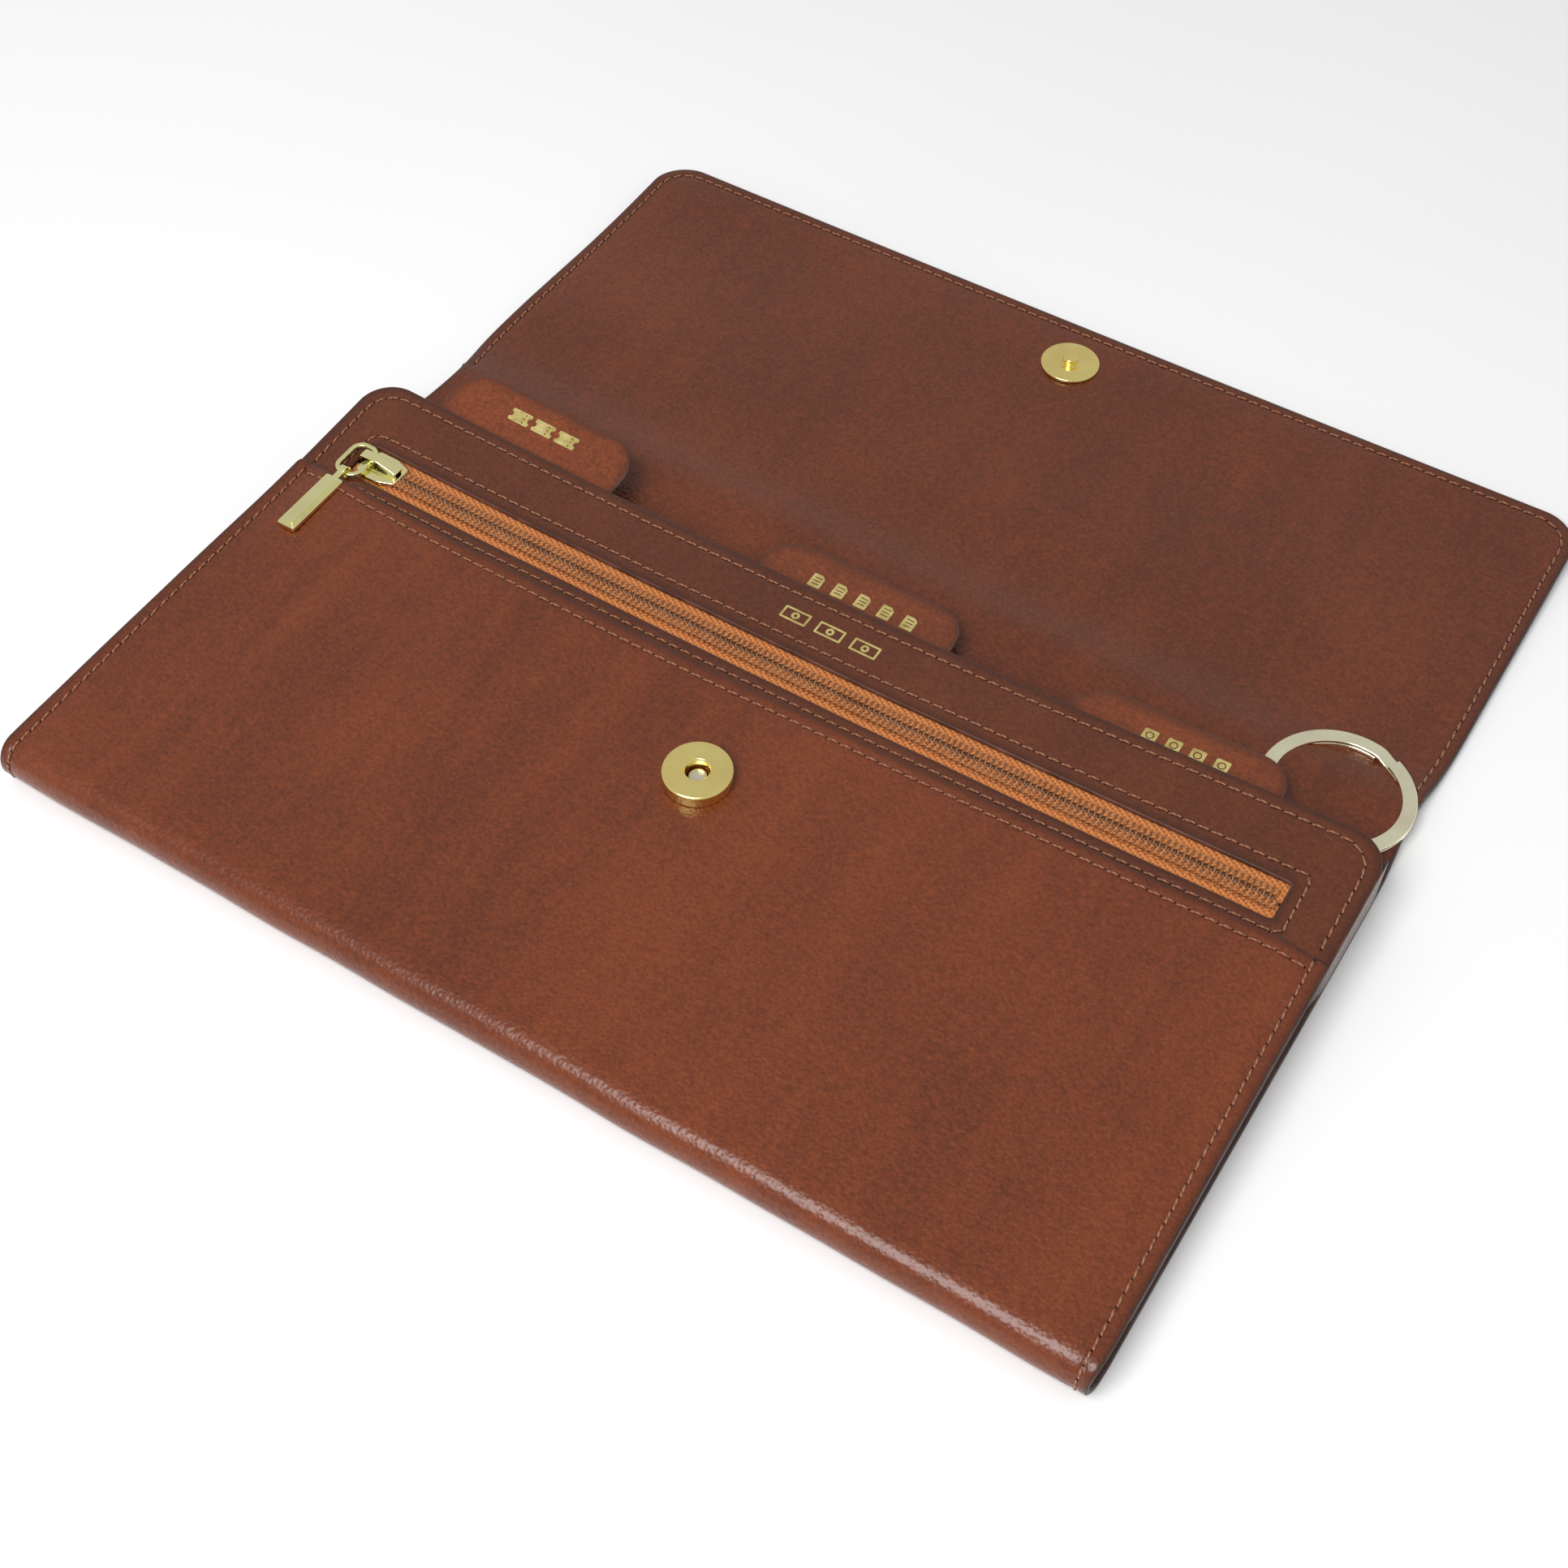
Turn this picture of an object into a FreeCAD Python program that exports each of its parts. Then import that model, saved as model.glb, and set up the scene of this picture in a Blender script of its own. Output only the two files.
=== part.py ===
import FreeCAD, Part
import math
import os

from FreeCAD import Vector

# Travel document organizer, lying open: body in front, flap folded back behind it.
# Millimetres. X runs across the width, Y from the bottom fold to the flap's free edge
# and Z up. The rest shape is built from Y = 0 at the bottom fold, and save() moves it
# so that the origin is the middle of the underside of the open organizer.

# Overall outline
WIDTH = 250.0
HALF = WIDTH / 2
OPEN_DEPTH = 247.0
FOLD_THICKNESS = 10.0
FOLD_RADIUS = FOLD_THICKNESS / 2
FOLD_SPLIT_Y = 1.5
FRONT_HEIGHT = 127.0
POCKET_HEIGHT = 96.0
CREASE_Y = 142.5
FRONT_CORNER = 8.0
FLAP_CORNER = 9.5

# Leather, lining and thread
OUTER = 1.3
LINING = 0.7
THREAD_WIDTH = 0.5
THREAD_HEIGHT = 0.28
JOIN_GAP = 0.1

# Height of the underside of each layer at the bottom fold, and its thickness
DIVIDER_BOTTOMS = (2.3, 3.4, 4.5)
DIVIDER = 0.8
CLOTH_BACK_BOTTOM = 5.6
CLOTH_FRONT_BOTTOM = 6.85
CLOTH = 0.3
TAPE_BOTTOM = 6.8
TAPE = 0.4
ZIP_PANEL_BOTTOM = 7.25
ZIP_PANEL_TOP = 8.4
POCKET_BOTTOM = 8.8

# The mouth stands a little open: each layer leans up about its own line at the fold
MOUTH_Y = 6.15
MOUTH_Z = 9.4
MOUTH_TILT = 2.55
DIVIDER_HINGE_Y = 8.0
DIVIDER_TILTS = (2.05, 2.21, 2.38)

# Dividers and their tabs, rear one first
DIVIDER_HALF = 121.0
DIVIDER_TOP = 122.0
TAB_TOP = 140.5
TAB_WIDTH = 48.4
TAB_CORNER = 8.0
TAB_CENTRES = (76.0, -0.2, -86.2)

# Zip in its window
WINDOW_LEFT = -114.0
WINDOW_RIGHT = 111.2
WINDOW_LOW = 100.0
WINDOW_HIGH = 109.2
ZIP_Y = (WINDOW_LOW + WINDOW_HIGH) / 2
COIL_INNER = 0.4
COIL_OUTER = 2.9
COIL_HEIGHT = 1.3
STOP_LENGTH = 1.0

# Slider, puller link and pendant
SLIDER_LEFT = -112.7
SLIDER_LENGTH = 10.5
SLIDER_PLATE_BOTTOM = 8.65
SLIDER_PLATE = 0.7
LINK_X = -110.2
LINK_Z = 10.5
LINK_WIRE = 1.2
LINK_THICKNESS = 0.7
LINK_HALF_WIDTH = 3.6
LINK_HALF_LENGTH = 5.2
LINK_Y = 103.0
PENDANT_WIDTH = 4.6
PENDANT_LENGTH = 17.2

# Magnetic snap
SNAP_Y = 70.0
SNAP_RADIUS = 7.3
SNAP_HEIGHT = 3.0
SNAP_HOLE = 2.55
SNAP_SECTORS = 8
STUD_DISC_RADIUS = 7.15
STUD_DISC = 0.9
STUD_RADIUS = 1.9
STUD_HEIGHT = 2.0
SNAP_GAP = 0.1
WASHER_RADIUS = 6.0
WASHER = 0.5

# Split key ring on its strap
RING_X = 107.9
RING_Y = 144.0
RING_OUTER = 16.45
RING_INNER = 13.3
RING_BOTTOM = 2.75
RING_THICKNESS = 1.8
STRAP_WIDTH = 8.0
STRAP_LAYER = 0.3
STRAP_END_Y = 96.0

FOIL = 0.05


# Shape helpers

def rounded_outline(corners):
    """Closed wire in the XY plane through (x, y, radius) corners."""
    points = [Vector(x, y, 0) for x, y, radius in corners]
    count = len(points)
    edges = []
    last_end = None
    first_start = None
    for index, (x, y, radius) in enumerate(corners):
        here = points[index]
        to_before = (points[index - 1] - here).normalize()
        to_after = (points[(index + 1) % count] - here).normalize()
        half_angle = to_before.getAngle(to_after) / 2
        cut = radius / math.tan(half_angle)
        start = here + to_before * cut
        end = here + to_after * cut
        if last_end is not None and last_end.distanceToPoint(start) > 1e-6:
            edges.append(Part.makeLine(last_end, start))
        if radius > 0:
            bisector = (to_before + to_after).normalize()
            centre = here + bisector * (radius / math.sin(half_angle))
            edges.append(Part.Arc(start, centre - bisector * radius, end).toShape())
        if first_start is None:
            first_start = start
        last_end = end
    if last_end.distanceToPoint(first_start) > 1e-6:
        edges.append(Part.makeLine(last_end, first_start))
    return Part.Wire(edges)


def plate(corners, bottom, top):
    """Flat plate with rounded corners between two heights."""
    face = Part.Face(rounded_outline(corners))
    face.translate(Vector(0, 0, bottom))
    return face.extrude(Vector(0, 0, top - bottom))


def rectangle(x0, y0, x1, y1, radius=0.0):
    """Corners of a rectangle whose four corners share one radius."""
    return [(x0, y0, radius), (x1, y0, radius), (x1, y1, radius), (x0, y1, radius)]


def side_profile(corners, x0, x1):
    """Profile given as (y, z, radius) corners, drawn out along X."""
    face = Part.Face(rounded_outline(corners))
    face.rotate(Vector(0, 0, 0), Vector(1, 1, 1), 120)
    face.translate(Vector(x0, 0, 0))
    return face.extrude(Vector(x1 - x0, 0, 0))


def disc(x, y, radius, bottom, top):
    """Upright cylinder between two heights."""
    return Part.makeCylinder(radius, top - bottom, Vector(x, y, bottom))


def tube(x, y, outer, inner, bottom, top):
    """Upright tube between two heights."""
    return disc(x, y, outer, bottom, top).cut(disc(x, y, inner, bottom, top))


def lean(shape, y, z, degrees):
    """Turn a shape up about a line along X through (y, z)."""
    shape = shape.copy()
    shape.rotate(Vector(0, y, z), Vector(1, 0, 0), degrees)
    return shape


def lean_front(shape):
    """Place a piece of the front, drawn flat, on the slightly open front."""
    return lean(shape, MOUTH_Y, MOUTH_Z, MOUTH_TILT)


def lean_divider(shape, index):
    """Place a piece drawn on a flat divider on its leaning divider."""
    hinge_z = DIVIDER_BOTTOMS[index] + DIVIDER / 2
    return lean(shape, DIVIDER_HINGE_Y, hinge_z, DIVIDER_TILTS[index])


def save(name, *solids):
    """Write one sub-part, moved so that the origin is the middle of the underside."""
    shape = solids[0] if len(solids) == 1 else Part.makeCompound(list(solids))
    shape = shape.copy()
    shape.translate(Vector(0, -OPEN_DEPTH / 2, 0))
    shape.exportStep(os.path.join("parts", name + ".step"))


# How the flap closes: both creases turn the same angle, and the flap ends parallel to
# the front, one snap height above it.

def crease_angle():
    """Angle of each of the two creases with the flap closed, in degrees."""
    return (180 + MOUTH_TILT) / 2


def spine_length():
    """Strip between the creases that holds the closed flap one snap height up."""
    tilt = math.radians(MOUTH_TILT)
    angle = math.radians(crease_angle())
    flap_height = FOLD_THICKNESS + SNAP_HEIGHT + STUD_DISC + SNAP_GAP
    rise = flap_height - MOUTH_Z
    rise += math.sin(tilt) * (CREASE_Y - MOUTH_Y)
    rise -= math.cos(tilt) * (OUTER + LINING - MOUTH_Z)
    return rise / (math.cos(tilt) * math.sin(angle) - math.sin(tilt) * math.cos(angle))


def stud_y():
    """Place on the open flap that lands on the snap socket when the flap closes."""
    tilt = math.radians(MOUTH_TILT)
    angle = math.radians(crease_angle())
    spine = spine_length()
    crease_y = CREASE_Y + spine * math.cos(angle) - MOUTH_Y
    crease_z = OUTER + LINING + spine * math.sin(angle) - MOUTH_Z
    along_front = MOUTH_Y + math.cos(tilt) * crease_y + math.sin(tilt) * crease_z
    return CREASE_Y + spine + along_front - SNAP_Y


FLAP_Y = CREASE_Y + spine_length()
STUD_Y = stud_y()


# Back, fold and gussets

def back_panel():
    """Outer leather of the back, flat on the table."""
    return plate(rectangle(-HALF, FOLD_RADIUS, HALF, CREASE_Y - JOIN_GAP), 0, OUTER)


def back_lining():
    """Leather lining of the rear compartment."""
    outline = rectangle(-HALF + 0.4, 9.0, HALF - 0.4, CREASE_Y - JOIN_GAP)
    return plate(outline, OUTER, OUTER + LINING)


def bottom_fold():
    """Outer leather wrapped round the bottom, in four lengths that each bend only a little."""
    lip = MOUTH_Y - 0.15
    outer = [(lip, 0, 0), (lip, FOLD_THICKNESS, 0),
             (0, FOLD_THICKNESS, FOLD_RADIUS), (0, 0, FOLD_RADIUS)]
    inner_radius = FOLD_RADIUS - OUTER
    inner = [(lip + 1, OUTER, 0), (lip + 1, FOLD_THICKNESS - OUTER, 0),
             (OUTER, FOLD_THICKNESS - OUTER, inner_radius), (OUTER, OUTER, inner_radius)]
    fold = side_profile(outer, -HALF, HALF).cut(side_profile(inner, -HALF, HALF))
    behind = Part.makeBox(WIDTH, 4, OUTER + 1, Vector(-HALF, FOLD_RADIUS, -1))
    fold = fold.cut(behind)
    lengths = []
    for y0, y1 in ((0, FOLD_SPLIT_Y), (FOLD_SPLIT_Y, lip + 1)):
        for z0 in (0, FOLD_RADIUS):
            box = Part.makeBox(WIDTH, y1 - y0, FOLD_RADIUS, Vector(-HALF, y0, z0))
            lengths.append(fold.common(box))
    return lengths


def gusset(side):
    """Side gusset strip between the back lining and the front, at X = side * 122.8."""
    start, end = 9.0, 124.0
    slope = math.tan(math.radians(MOUTH_TILT))
    low = OUTER + LINING
    roof = ZIP_PANEL_BOTTOM - 0.25
    profile = [(start, low, 0), (end, low, 0),
               (end, roof + (end - MOUTH_Y) * slope, 0),
               (start, roof + (start - MOUTH_Y) * slope, 0)]
    middle = side * 122.8
    return side_profile(profile, middle - 0.4, middle + 0.4)


# Front: slip pocket panel over the zip panel

def pocket_panel():
    """Lower front leather: the open-topped slip pocket that carries the snap socket."""
    corners = [(-HALF, MOUTH_Y + 0.15, 0), (HALF, MOUTH_Y + 0.15, 0),
               (HALF, POCKET_HEIGHT, 1.5), (-HALF, POCKET_HEIGHT, 1.5)]
    panel = plate(corners, POCKET_BOTTOM, FOLD_THICKNESS)
    panel = panel.cut(disc(0, SNAP_Y, STUD_RADIUS + 0.15, 0, 20))
    recess = disc(0, SNAP_Y, WASHER_RADIUS + 0.2, POCKET_BOTTOM, POCKET_BOTTOM + WASHER + 0.1)
    return panel.cut(recess)


def zip_panel():
    """Upper front leather with the window for the zip."""
    corners = [(-HALF, 9.0, 0), (HALF, 9.0, 0),
               (HALF, FRONT_HEIGHT, FRONT_CORNER), (-HALF, FRONT_HEIGHT, FRONT_CORNER)]
    panel = plate(corners, ZIP_PANEL_BOTTOM, ZIP_PANEL_TOP)
    window = rectangle(WINDOW_LEFT, WINDOW_LOW, WINDOW_RIGHT, WINDOW_HIGH, 1.0)
    return panel.cut(plate(window, 0, 20))


def zip_tape(side):
    """Woven tape above (side 1) or below (side -1) the coil."""
    edge = ZIP_Y + side * COIL_INNER
    far = ZIP_Y + side * 12.4
    outline = rectangle(WINDOW_LEFT - 3, min(edge, far), WINDOW_RIGHT + 4, max(edge, far))
    return plate(outline, TAPE_BOTTOM, TAPE_BOTTOM + TAPE)


def zip_coil(side):
    """One row of the coil, with a rounded top, on the edge of its tape."""
    low = TAPE_BOTTOM + TAPE
    inner = ZIP_Y + side * COIL_INNER
    outer = ZIP_Y + side * COIL_OUTER
    top = low + COIL_HEIGHT
    profile = [(inner, low, 0), (outer, low, 0), (outer, top, 0.6), (inner, top, 0.4)]
    return side_profile(profile, WINDOW_LEFT + 0.2 + STOP_LENGTH, WINDOW_RIGHT - 2.5)


def zip_stops():
    """Two top stops at the closed end and one bottom stop across both rows."""
    low = TAPE_BOTTOM + TAPE
    top = low + COIL_HEIGHT - 0.1
    left = WINDOW_LEFT + 0.1
    right = WINDOW_RIGHT - 2.4
    stops = []
    for side in (-1, 1):
        near = ZIP_Y + side * 0.6
        far = ZIP_Y + side * COIL_OUTER
        outline = rectangle(left, min(near, far), left + STOP_LENGTH, max(near, far), 0.2)
        stops.append(plate(outline, low, top))
    outline = rectangle(right, ZIP_Y - 3.0, right + 2.0, ZIP_Y + 3.0, 0.4)
    stops.append(plate(outline, low, top))
    return stops


def cloth_front():
    """Front wall of the zip pocket's cloth bag, below the lower tape."""
    outline = rectangle(-119, 12, 119, ZIP_Y - 12.6)
    return plate(outline, CLOTH_FRONT_BOTTOM, CLOTH_FRONT_BOTTOM + CLOTH)


def cloth_back():
    """Back wall of the zip pocket's cloth bag."""
    return plate(rectangle(-119, 12, 119, 119), CLOTH_BACK_BOTTOM, CLOTH_BACK_BOTTOM + CLOTH)


# Seams, drawn as the line of thread that shows

def seam_band(corners_outer, corners_inner, bottom):
    """Closed line of thread between two outlines."""
    top = bottom + THREAD_HEIGHT
    return plate(corners_outer, bottom, top).cut(plate(corners_inner, bottom, top))


def edge_seam(y0, y1, inset, corner, bottom):
    """Line of thread up both sides and round the top corners, open at the low end."""
    half = THREAD_WIDTH / 2
    bands = []
    for offset in (half, -half):
        x = HALF - inset + offset
        radius = max(corner - inset + offset, 0.1)
        bands.append([(-x, y0 - 1, 0), (x, y0 - 1, 0),
                      (x, y1 - inset + offset, radius), (-x, y1 - inset + offset, radius)])
    bands[1][0] = (bands[1][0][0], y0 - 2, 0)
    bands[1][1] = (bands[1][1][0], y0 - 2, 0)
    seam = seam_band(bands[0], bands[1], bottom)
    return seam.cut(Part.makeBox(WIDTH, 3, 5, Vector(-HALF, y0 - 3, bottom - 2)))


def thread_body():
    """Body seam: two lines on the pocket panel, then round the top of the zip panel."""
    half = THREAD_WIDTH / 2
    pieces = []
    for side in (-1, 1):
        x = side * (HALF - 3.0)
        outline = rectangle(x - half, MOUTH_Y + 1.5, x + half, POCKET_HEIGHT - 0.4)
        pieces.append(plate(outline, FOLD_THICKNESS, FOLD_THICKNESS + THREAD_HEIGHT))
    start = POCKET_HEIGHT + 0.6
    pieces.append(edge_seam(start, FRONT_HEIGHT, 3.0, FRONT_CORNER, ZIP_PANEL_TOP))
    return pieces


def thread_pocket():
    """Hem seam along the slip pocket's open edge."""
    reach = HALF - 3.6
    y = POCKET_HEIGHT - 3.0
    half = THREAD_WIDTH / 2
    outline = rectangle(-reach, y - half, reach, y + half)
    return plate(outline, FOLD_THICKNESS, FOLD_THICKNESS + THREAD_HEIGHT)


def thread_window():
    """Seam round the zip window."""
    left, right = WINDOW_LEFT - 1.8, WINDOW_RIGHT + 2.9
    low, high = WINDOW_LOW - 2.8, WINDOW_HIGH + 3.8
    half = THREAD_WIDTH / 2
    outer = rectangle(left - half, low - half, right + half, high + half, 0.8)
    inner = rectangle(left + half, low + half, right - half, high - half, 0.4)
    return seam_band(outer, inner, ZIP_PANEL_TOP)


def thread_flap():
    """Seam round the flap's free edges, on its lining."""
    return edge_seam(FLAP_Y + 1.0, OPEN_DEPTH, 2.6, FLAP_CORNER, OUTER + LINING)


# Dividers with tabs

def divider(index):
    """Leather divider with one rounded tab above its top edge."""
    bottom = DIVIDER_BOTTOMS[index]
    centre = TAB_CENTRES[index]
    left, right = centre - TAB_WIDTH / 2, centre + TAB_WIDTH / 2
    corners = [(-DIVIDER_HALF, DIVIDER_HINGE_Y, 0), (DIVIDER_HALF, DIVIDER_HINGE_Y, 0),
               (DIVIDER_HALF, DIVIDER_TOP, 6), (right, DIVIDER_TOP, 3),
               (right, TAB_TOP, TAB_CORNER), (left, TAB_TOP, TAB_CORNER),
               (left, DIVIDER_TOP, 3), (-DIVIDER_HALF, DIVIDER_TOP, 6)]
    return lean_divider(plate(corners, bottom, bottom + DIVIDER), index)


# Gold foil pictograms, in place of words: what each compartment holds

def ticket_mark(x, y, bottom):
    """Ticket with notched ends and a torn-off stub line."""
    mark = plate(rectangle(x - 2.7, y - 1.6, x + 2.7, y + 1.6, 0.4), bottom, bottom + FOIL)
    for side in (-1, 1):
        mark = mark.cut(disc(x + side * 2.7, y, 0.7, bottom, bottom + FOIL))
    for step in (-1, 0, 1):
        slot = rectangle(x + 0.9, y + step - 0.25, x + 1.2, y + step + 0.25)
        mark = mark.cut(plate(slot, bottom, bottom + FOIL))
    return mark


def sheet_mark(x, y, bottom):
    """Sheet of paper with a cut corner and three written lines."""
    corners = [(x - 1.5, y - 1.9, 0.2), (x + 1.5, y - 1.9, 0.2), (x + 1.5, y + 1.0, 0),
               (x + 0.6, y + 1.9, 0), (x - 1.5, y + 1.9, 0.2)]
    mark = plate(corners, bottom, bottom + FOIL)
    for step in (-1, 0, 1):
        slot = rectangle(x - 0.9, y + step * 0.9 - 0.15, x + 0.9, y + step * 0.9 + 0.15)
        mark = mark.cut(plate(slot, bottom, bottom + FOIL))
    return mark


def note_mark(x, y, bottom):
    """Banknote: a frame with a round medallion in the middle."""
    top = bottom + FOIL
    frame = plate(rectangle(x - 3.2, y - 1.75, x + 3.2, y + 1.75, 0.3), bottom, top)
    frame = frame.cut(plate(rectangle(x - 2.7, y - 1.25, x + 2.7, y + 1.25, 0.1), bottom, top))
    return [frame, tube(x, y, 0.95, 0.4, bottom, top)]


def booklet_mark(x, y, bottom):
    """Passport booklet with a ring on its cover and a line under it."""
    top = bottom + FOIL
    mark = plate(rectangle(x - 1.6, y - 2.0, x + 1.6, y + 2.0, 0.4), bottom, top)
    mark = mark.cut(tube(x, y + 0.45, 0.95, 0.65, bottom, top))
    return mark.cut(plate(rectangle(x - 0.9, y - 1.3, x + 0.9, y - 1.0), bottom, top))


def mark_row(mark, count, pitch, x, y, bottom):
    """Evenly spaced row of one pictogram, centred on x."""
    row = []
    for index in range(count):
        pieces = mark(x + (index - (count - 1) / 2) * pitch, y, bottom)
        row.extend(pieces if isinstance(pieces, list) else [pieces])
    return row


def divider_marks(index, mark, count, pitch, x, y):
    """Row of pictograms on a divider's tab."""
    row = mark_row(mark, count, pitch, x, y, DIVIDER_BOTTOMS[index] + DIVIDER)
    return [lean_divider(piece, index) for piece in row]


def front_marks():
    """Row of banknotes on the front, between the zip and the top seam."""
    return mark_row(note_mark, 3, 8.6, 1.5, 118.2, ZIP_PANEL_TOP)


# Flap and the strip between the creases

def spine_panel():
    """Outer leather between the two creases."""
    outline = rectangle(-HALF, CREASE_Y + JOIN_GAP, HALF, FLAP_Y - JOIN_GAP)
    return plate(outline, 0, OUTER)


def spine_lining():
    """Lining leather between the two creases."""
    outline = rectangle(-HALF + 0.4, CREASE_Y + JOIN_GAP, HALF - 0.4, FLAP_Y - JOIN_GAP)
    return plate(outline, OUTER, OUTER + LINING)


def flap_corners(inset):
    """Outline of the flap, its two free corners rounded."""
    x = HALF - inset
    start = FLAP_Y + JOIN_GAP
    end = OPEN_DEPTH - inset
    return [(-x, start, 0), (x, start, 0), (x, end, FLAP_CORNER), (-x, end, FLAP_CORNER)]


def flap_panel():
    """Outer leather of the flap, recessed for the washer behind the snap stud."""
    recess = disc(0, STUD_Y, WASHER_RADIUS + 0.2, OUTER - WASHER - 0.05, OUTER)
    return plate(flap_corners(0), 0, OUTER).cut(recess)


def flap_lining():
    """Lining leather of the flap, pierced for the snap stud's shank."""
    hole = disc(0, STUD_Y, 1.6, 0, 5)
    return plate(flap_corners(0.2), OUTER, OUTER + LINING).cut(hole)


# Magnetic snap

def revolved(profile, x, y, angle=360):
    """Turn a closed (radius, height) profile round an upright axis at (x, y)."""
    points = [Vector(radius, 0, height) for radius, height in profile]
    face = Part.Face(Part.makePolygon(points + points[:1]))
    solid = face.revolve(Vector(0, 0, 0), Vector(0, 0, 1), angle)
    solid.translate(Vector(x, y, 0))
    return solid


def snap_cap():
    """Brass shell of the socket: rounded rim, flat face and the wall of its hole. It is
    eight equal sectors, so that the hole stays open when each is taken as a convex lump."""
    low = FOLD_THICKNESS
    top = low + SNAP_HEIGHT
    wall = 0.4
    rim = 0.35
    profile = [(SNAP_RADIUS - wall, low), (SNAP_RADIUS, low), (SNAP_RADIUS, top - rim),
               (SNAP_RADIUS - rim, top), (SNAP_HOLE + 0.15, top), (SNAP_HOLE, top - 0.15),
               (SNAP_HOLE, low + 0.5), (SNAP_HOLE + wall, low + 0.5),
               (SNAP_HOLE + wall, top - 0.5), (SNAP_RADIUS - wall, top - 0.5)]
    sectors = []
    for i in range(SNAP_SECTORS):
        sector = revolved(profile, 0, SNAP_Y, 360 / SNAP_SECTORS)
        sector.rotate(Vector(0, SNAP_Y, 0), Vector(0, 0, 1), i * 360 / SNAP_SECTORS)
        sectors.append(sector)
    return sectors


def snap_magnet():
    """Ring magnet inside the socket's shell."""
    low = FOLD_THICKNESS
    return tube(0, SNAP_Y, SNAP_RADIUS - 0.5, SNAP_HOLE + 0.5, low, low + SNAP_HEIGHT - 0.6)


def snap_post():
    """Steel post at the bottom of the socket's hole, riveted through the leather."""
    floor = FOLD_THICKNESS + SNAP_HEIGHT - STUD_HEIGHT - 0.2
    return disc(0, SNAP_Y, STUD_RADIUS, POCKET_BOTTOM + 0.05, floor)


def snap_washer():
    """Washer behind the socket, let into the back of the pocket panel."""
    low = POCKET_BOTTOM + 0.05
    return tube(0, SNAP_Y, WASHER_RADIUS, STUD_RADIUS + 0.02, low, low + WASHER)


def stud_disc():
    """Brass disc with the stud that enters the socket, and its shank."""
    low = OUTER + LINING
    top = low + STUD_DISC
    shank = 1.5
    profile = [(0, OUTER - WASHER), (shank, OUTER - WASHER), (shank, low),
               (STUD_DISC_RADIUS, low), (STUD_DISC_RADIUS, top - 0.4),
               (STUD_DISC_RADIUS - 0.4, top), (STUD_RADIUS, top),
               (STUD_RADIUS, top + STUD_HEIGHT - 0.3), (STUD_RADIUS - 0.3, top + STUD_HEIGHT),
               (0, top + STUD_HEIGHT)]
    return revolved(profile, 0, STUD_Y)


def stud_washer():
    """Washer behind the stud, between the flap's leather and its lining."""
    return tube(0, STUD_Y, WASHER_RADIUS, 1.52, OUTER - WASHER, OUTER - 0.02)


# Zip slider, link and pendant

def slider_outline(grow):
    """Slider plate seen from above: broad at the closing end, narrow at the other."""
    left = SLIDER_LEFT - grow
    right = SLIDER_LEFT + SLIDER_LENGTH + grow
    half_widths = ((left, 3.2), (left + 2.5, 4.1), (left + 6.5, 4.1), (right, 2.8))
    low = [(x, ZIP_Y - width - grow, 0.5) for x, width in half_widths]
    high = [(x, ZIP_Y + width + grow, 0.5) for x, width in reversed(half_widths)]
    return low + high


def slider_body():
    """Slider: top plate with side flanges over the coil, neck and bottom plate."""
    top = SLIDER_PLATE_BOTTOM
    body = plate(slider_outline(0), top, top + SLIDER_PLATE)
    bottom_plate = plate(slider_outline(-0.2), TAPE_BOTTOM - 0.75, TAPE_BOTTOM - 0.15)
    neck = rectangle(SLIDER_LEFT + 0.3, ZIP_Y - 0.25, SLIDER_LEFT + 2.6, ZIP_Y + 0.25)
    body = body.fuse(bottom_plate).fuse(plate(neck, TAPE_BOTTOM - 0.2, top + 0.1))
    for side in (-1, 1):
        near = ZIP_Y + side * (COIL_OUTER + 0.2)
        far = ZIP_Y + side * (COIL_OUTER + 1.0)
        flange = rectangle(SLIDER_LEFT + 1.2, min(near, far), SLIDER_LEFT + 7.5, max(near, far))
        body = body.fuse(plate(flange, TAPE_BOTTOM + TAPE + 0.15, top + 0.1))
    return body.removeSplitter()


def slider_bridge():
    """Arched strap on the slider that the link hangs in."""
    left = SLIDER_LEFT + 0.1
    right = SLIDER_LEFT + SLIDER_LENGTH - 0.6
    low = SLIDER_PLATE_BOTTOM + SLIDER_PLATE
    roof = LINK_Z + 0.8
    corners = [(left, low, 0), (left + 0.8, low, 0), (left + 0.8, roof, 0.2),
               (left + 4.4, roof, 0.8), (right - 2.2, low + 0.6, 0.4), (right - 1.8, low, 0),
               (right, low, 0), (right, low + 1.3, 0.5), (left + 4.6, roof + 0.9, 1.5),
               (left, roof + 0.8, 0.7)]
    face = Part.Face(rounded_outline(corners))
    face.rotate(Vector(0, 0, 0), Vector(1, 0, 0), 90)
    face.translate(Vector(0, ZIP_Y + 1.4, 0))
    return face.extrude(Vector(0, -2.8, 0))


def puller_link():
    """Flat oval link under the bridge, lying towards the closed end of the zip."""
    centre = LINK_X + LINK_WIRE / 2 - LINK_HALF_WIDTH
    low = LINK_Z - LINK_THICKNESS / 2
    high = LINK_Z + LINK_THICKNESS / 2
    width, length = LINK_HALF_WIDTH, LINK_HALF_LENGTH
    outer = rectangle(centre - width, LINK_Y - length, centre + width, LINK_Y + length, 3.0)
    width, length = width - LINK_WIRE, length - LINK_WIRE
    inner = rectangle(centre - width, LINK_Y - length, centre + width, LINK_Y + length, 1.8)
    return plate(outer, low, high).cut(plate(inner, low, high))


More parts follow.
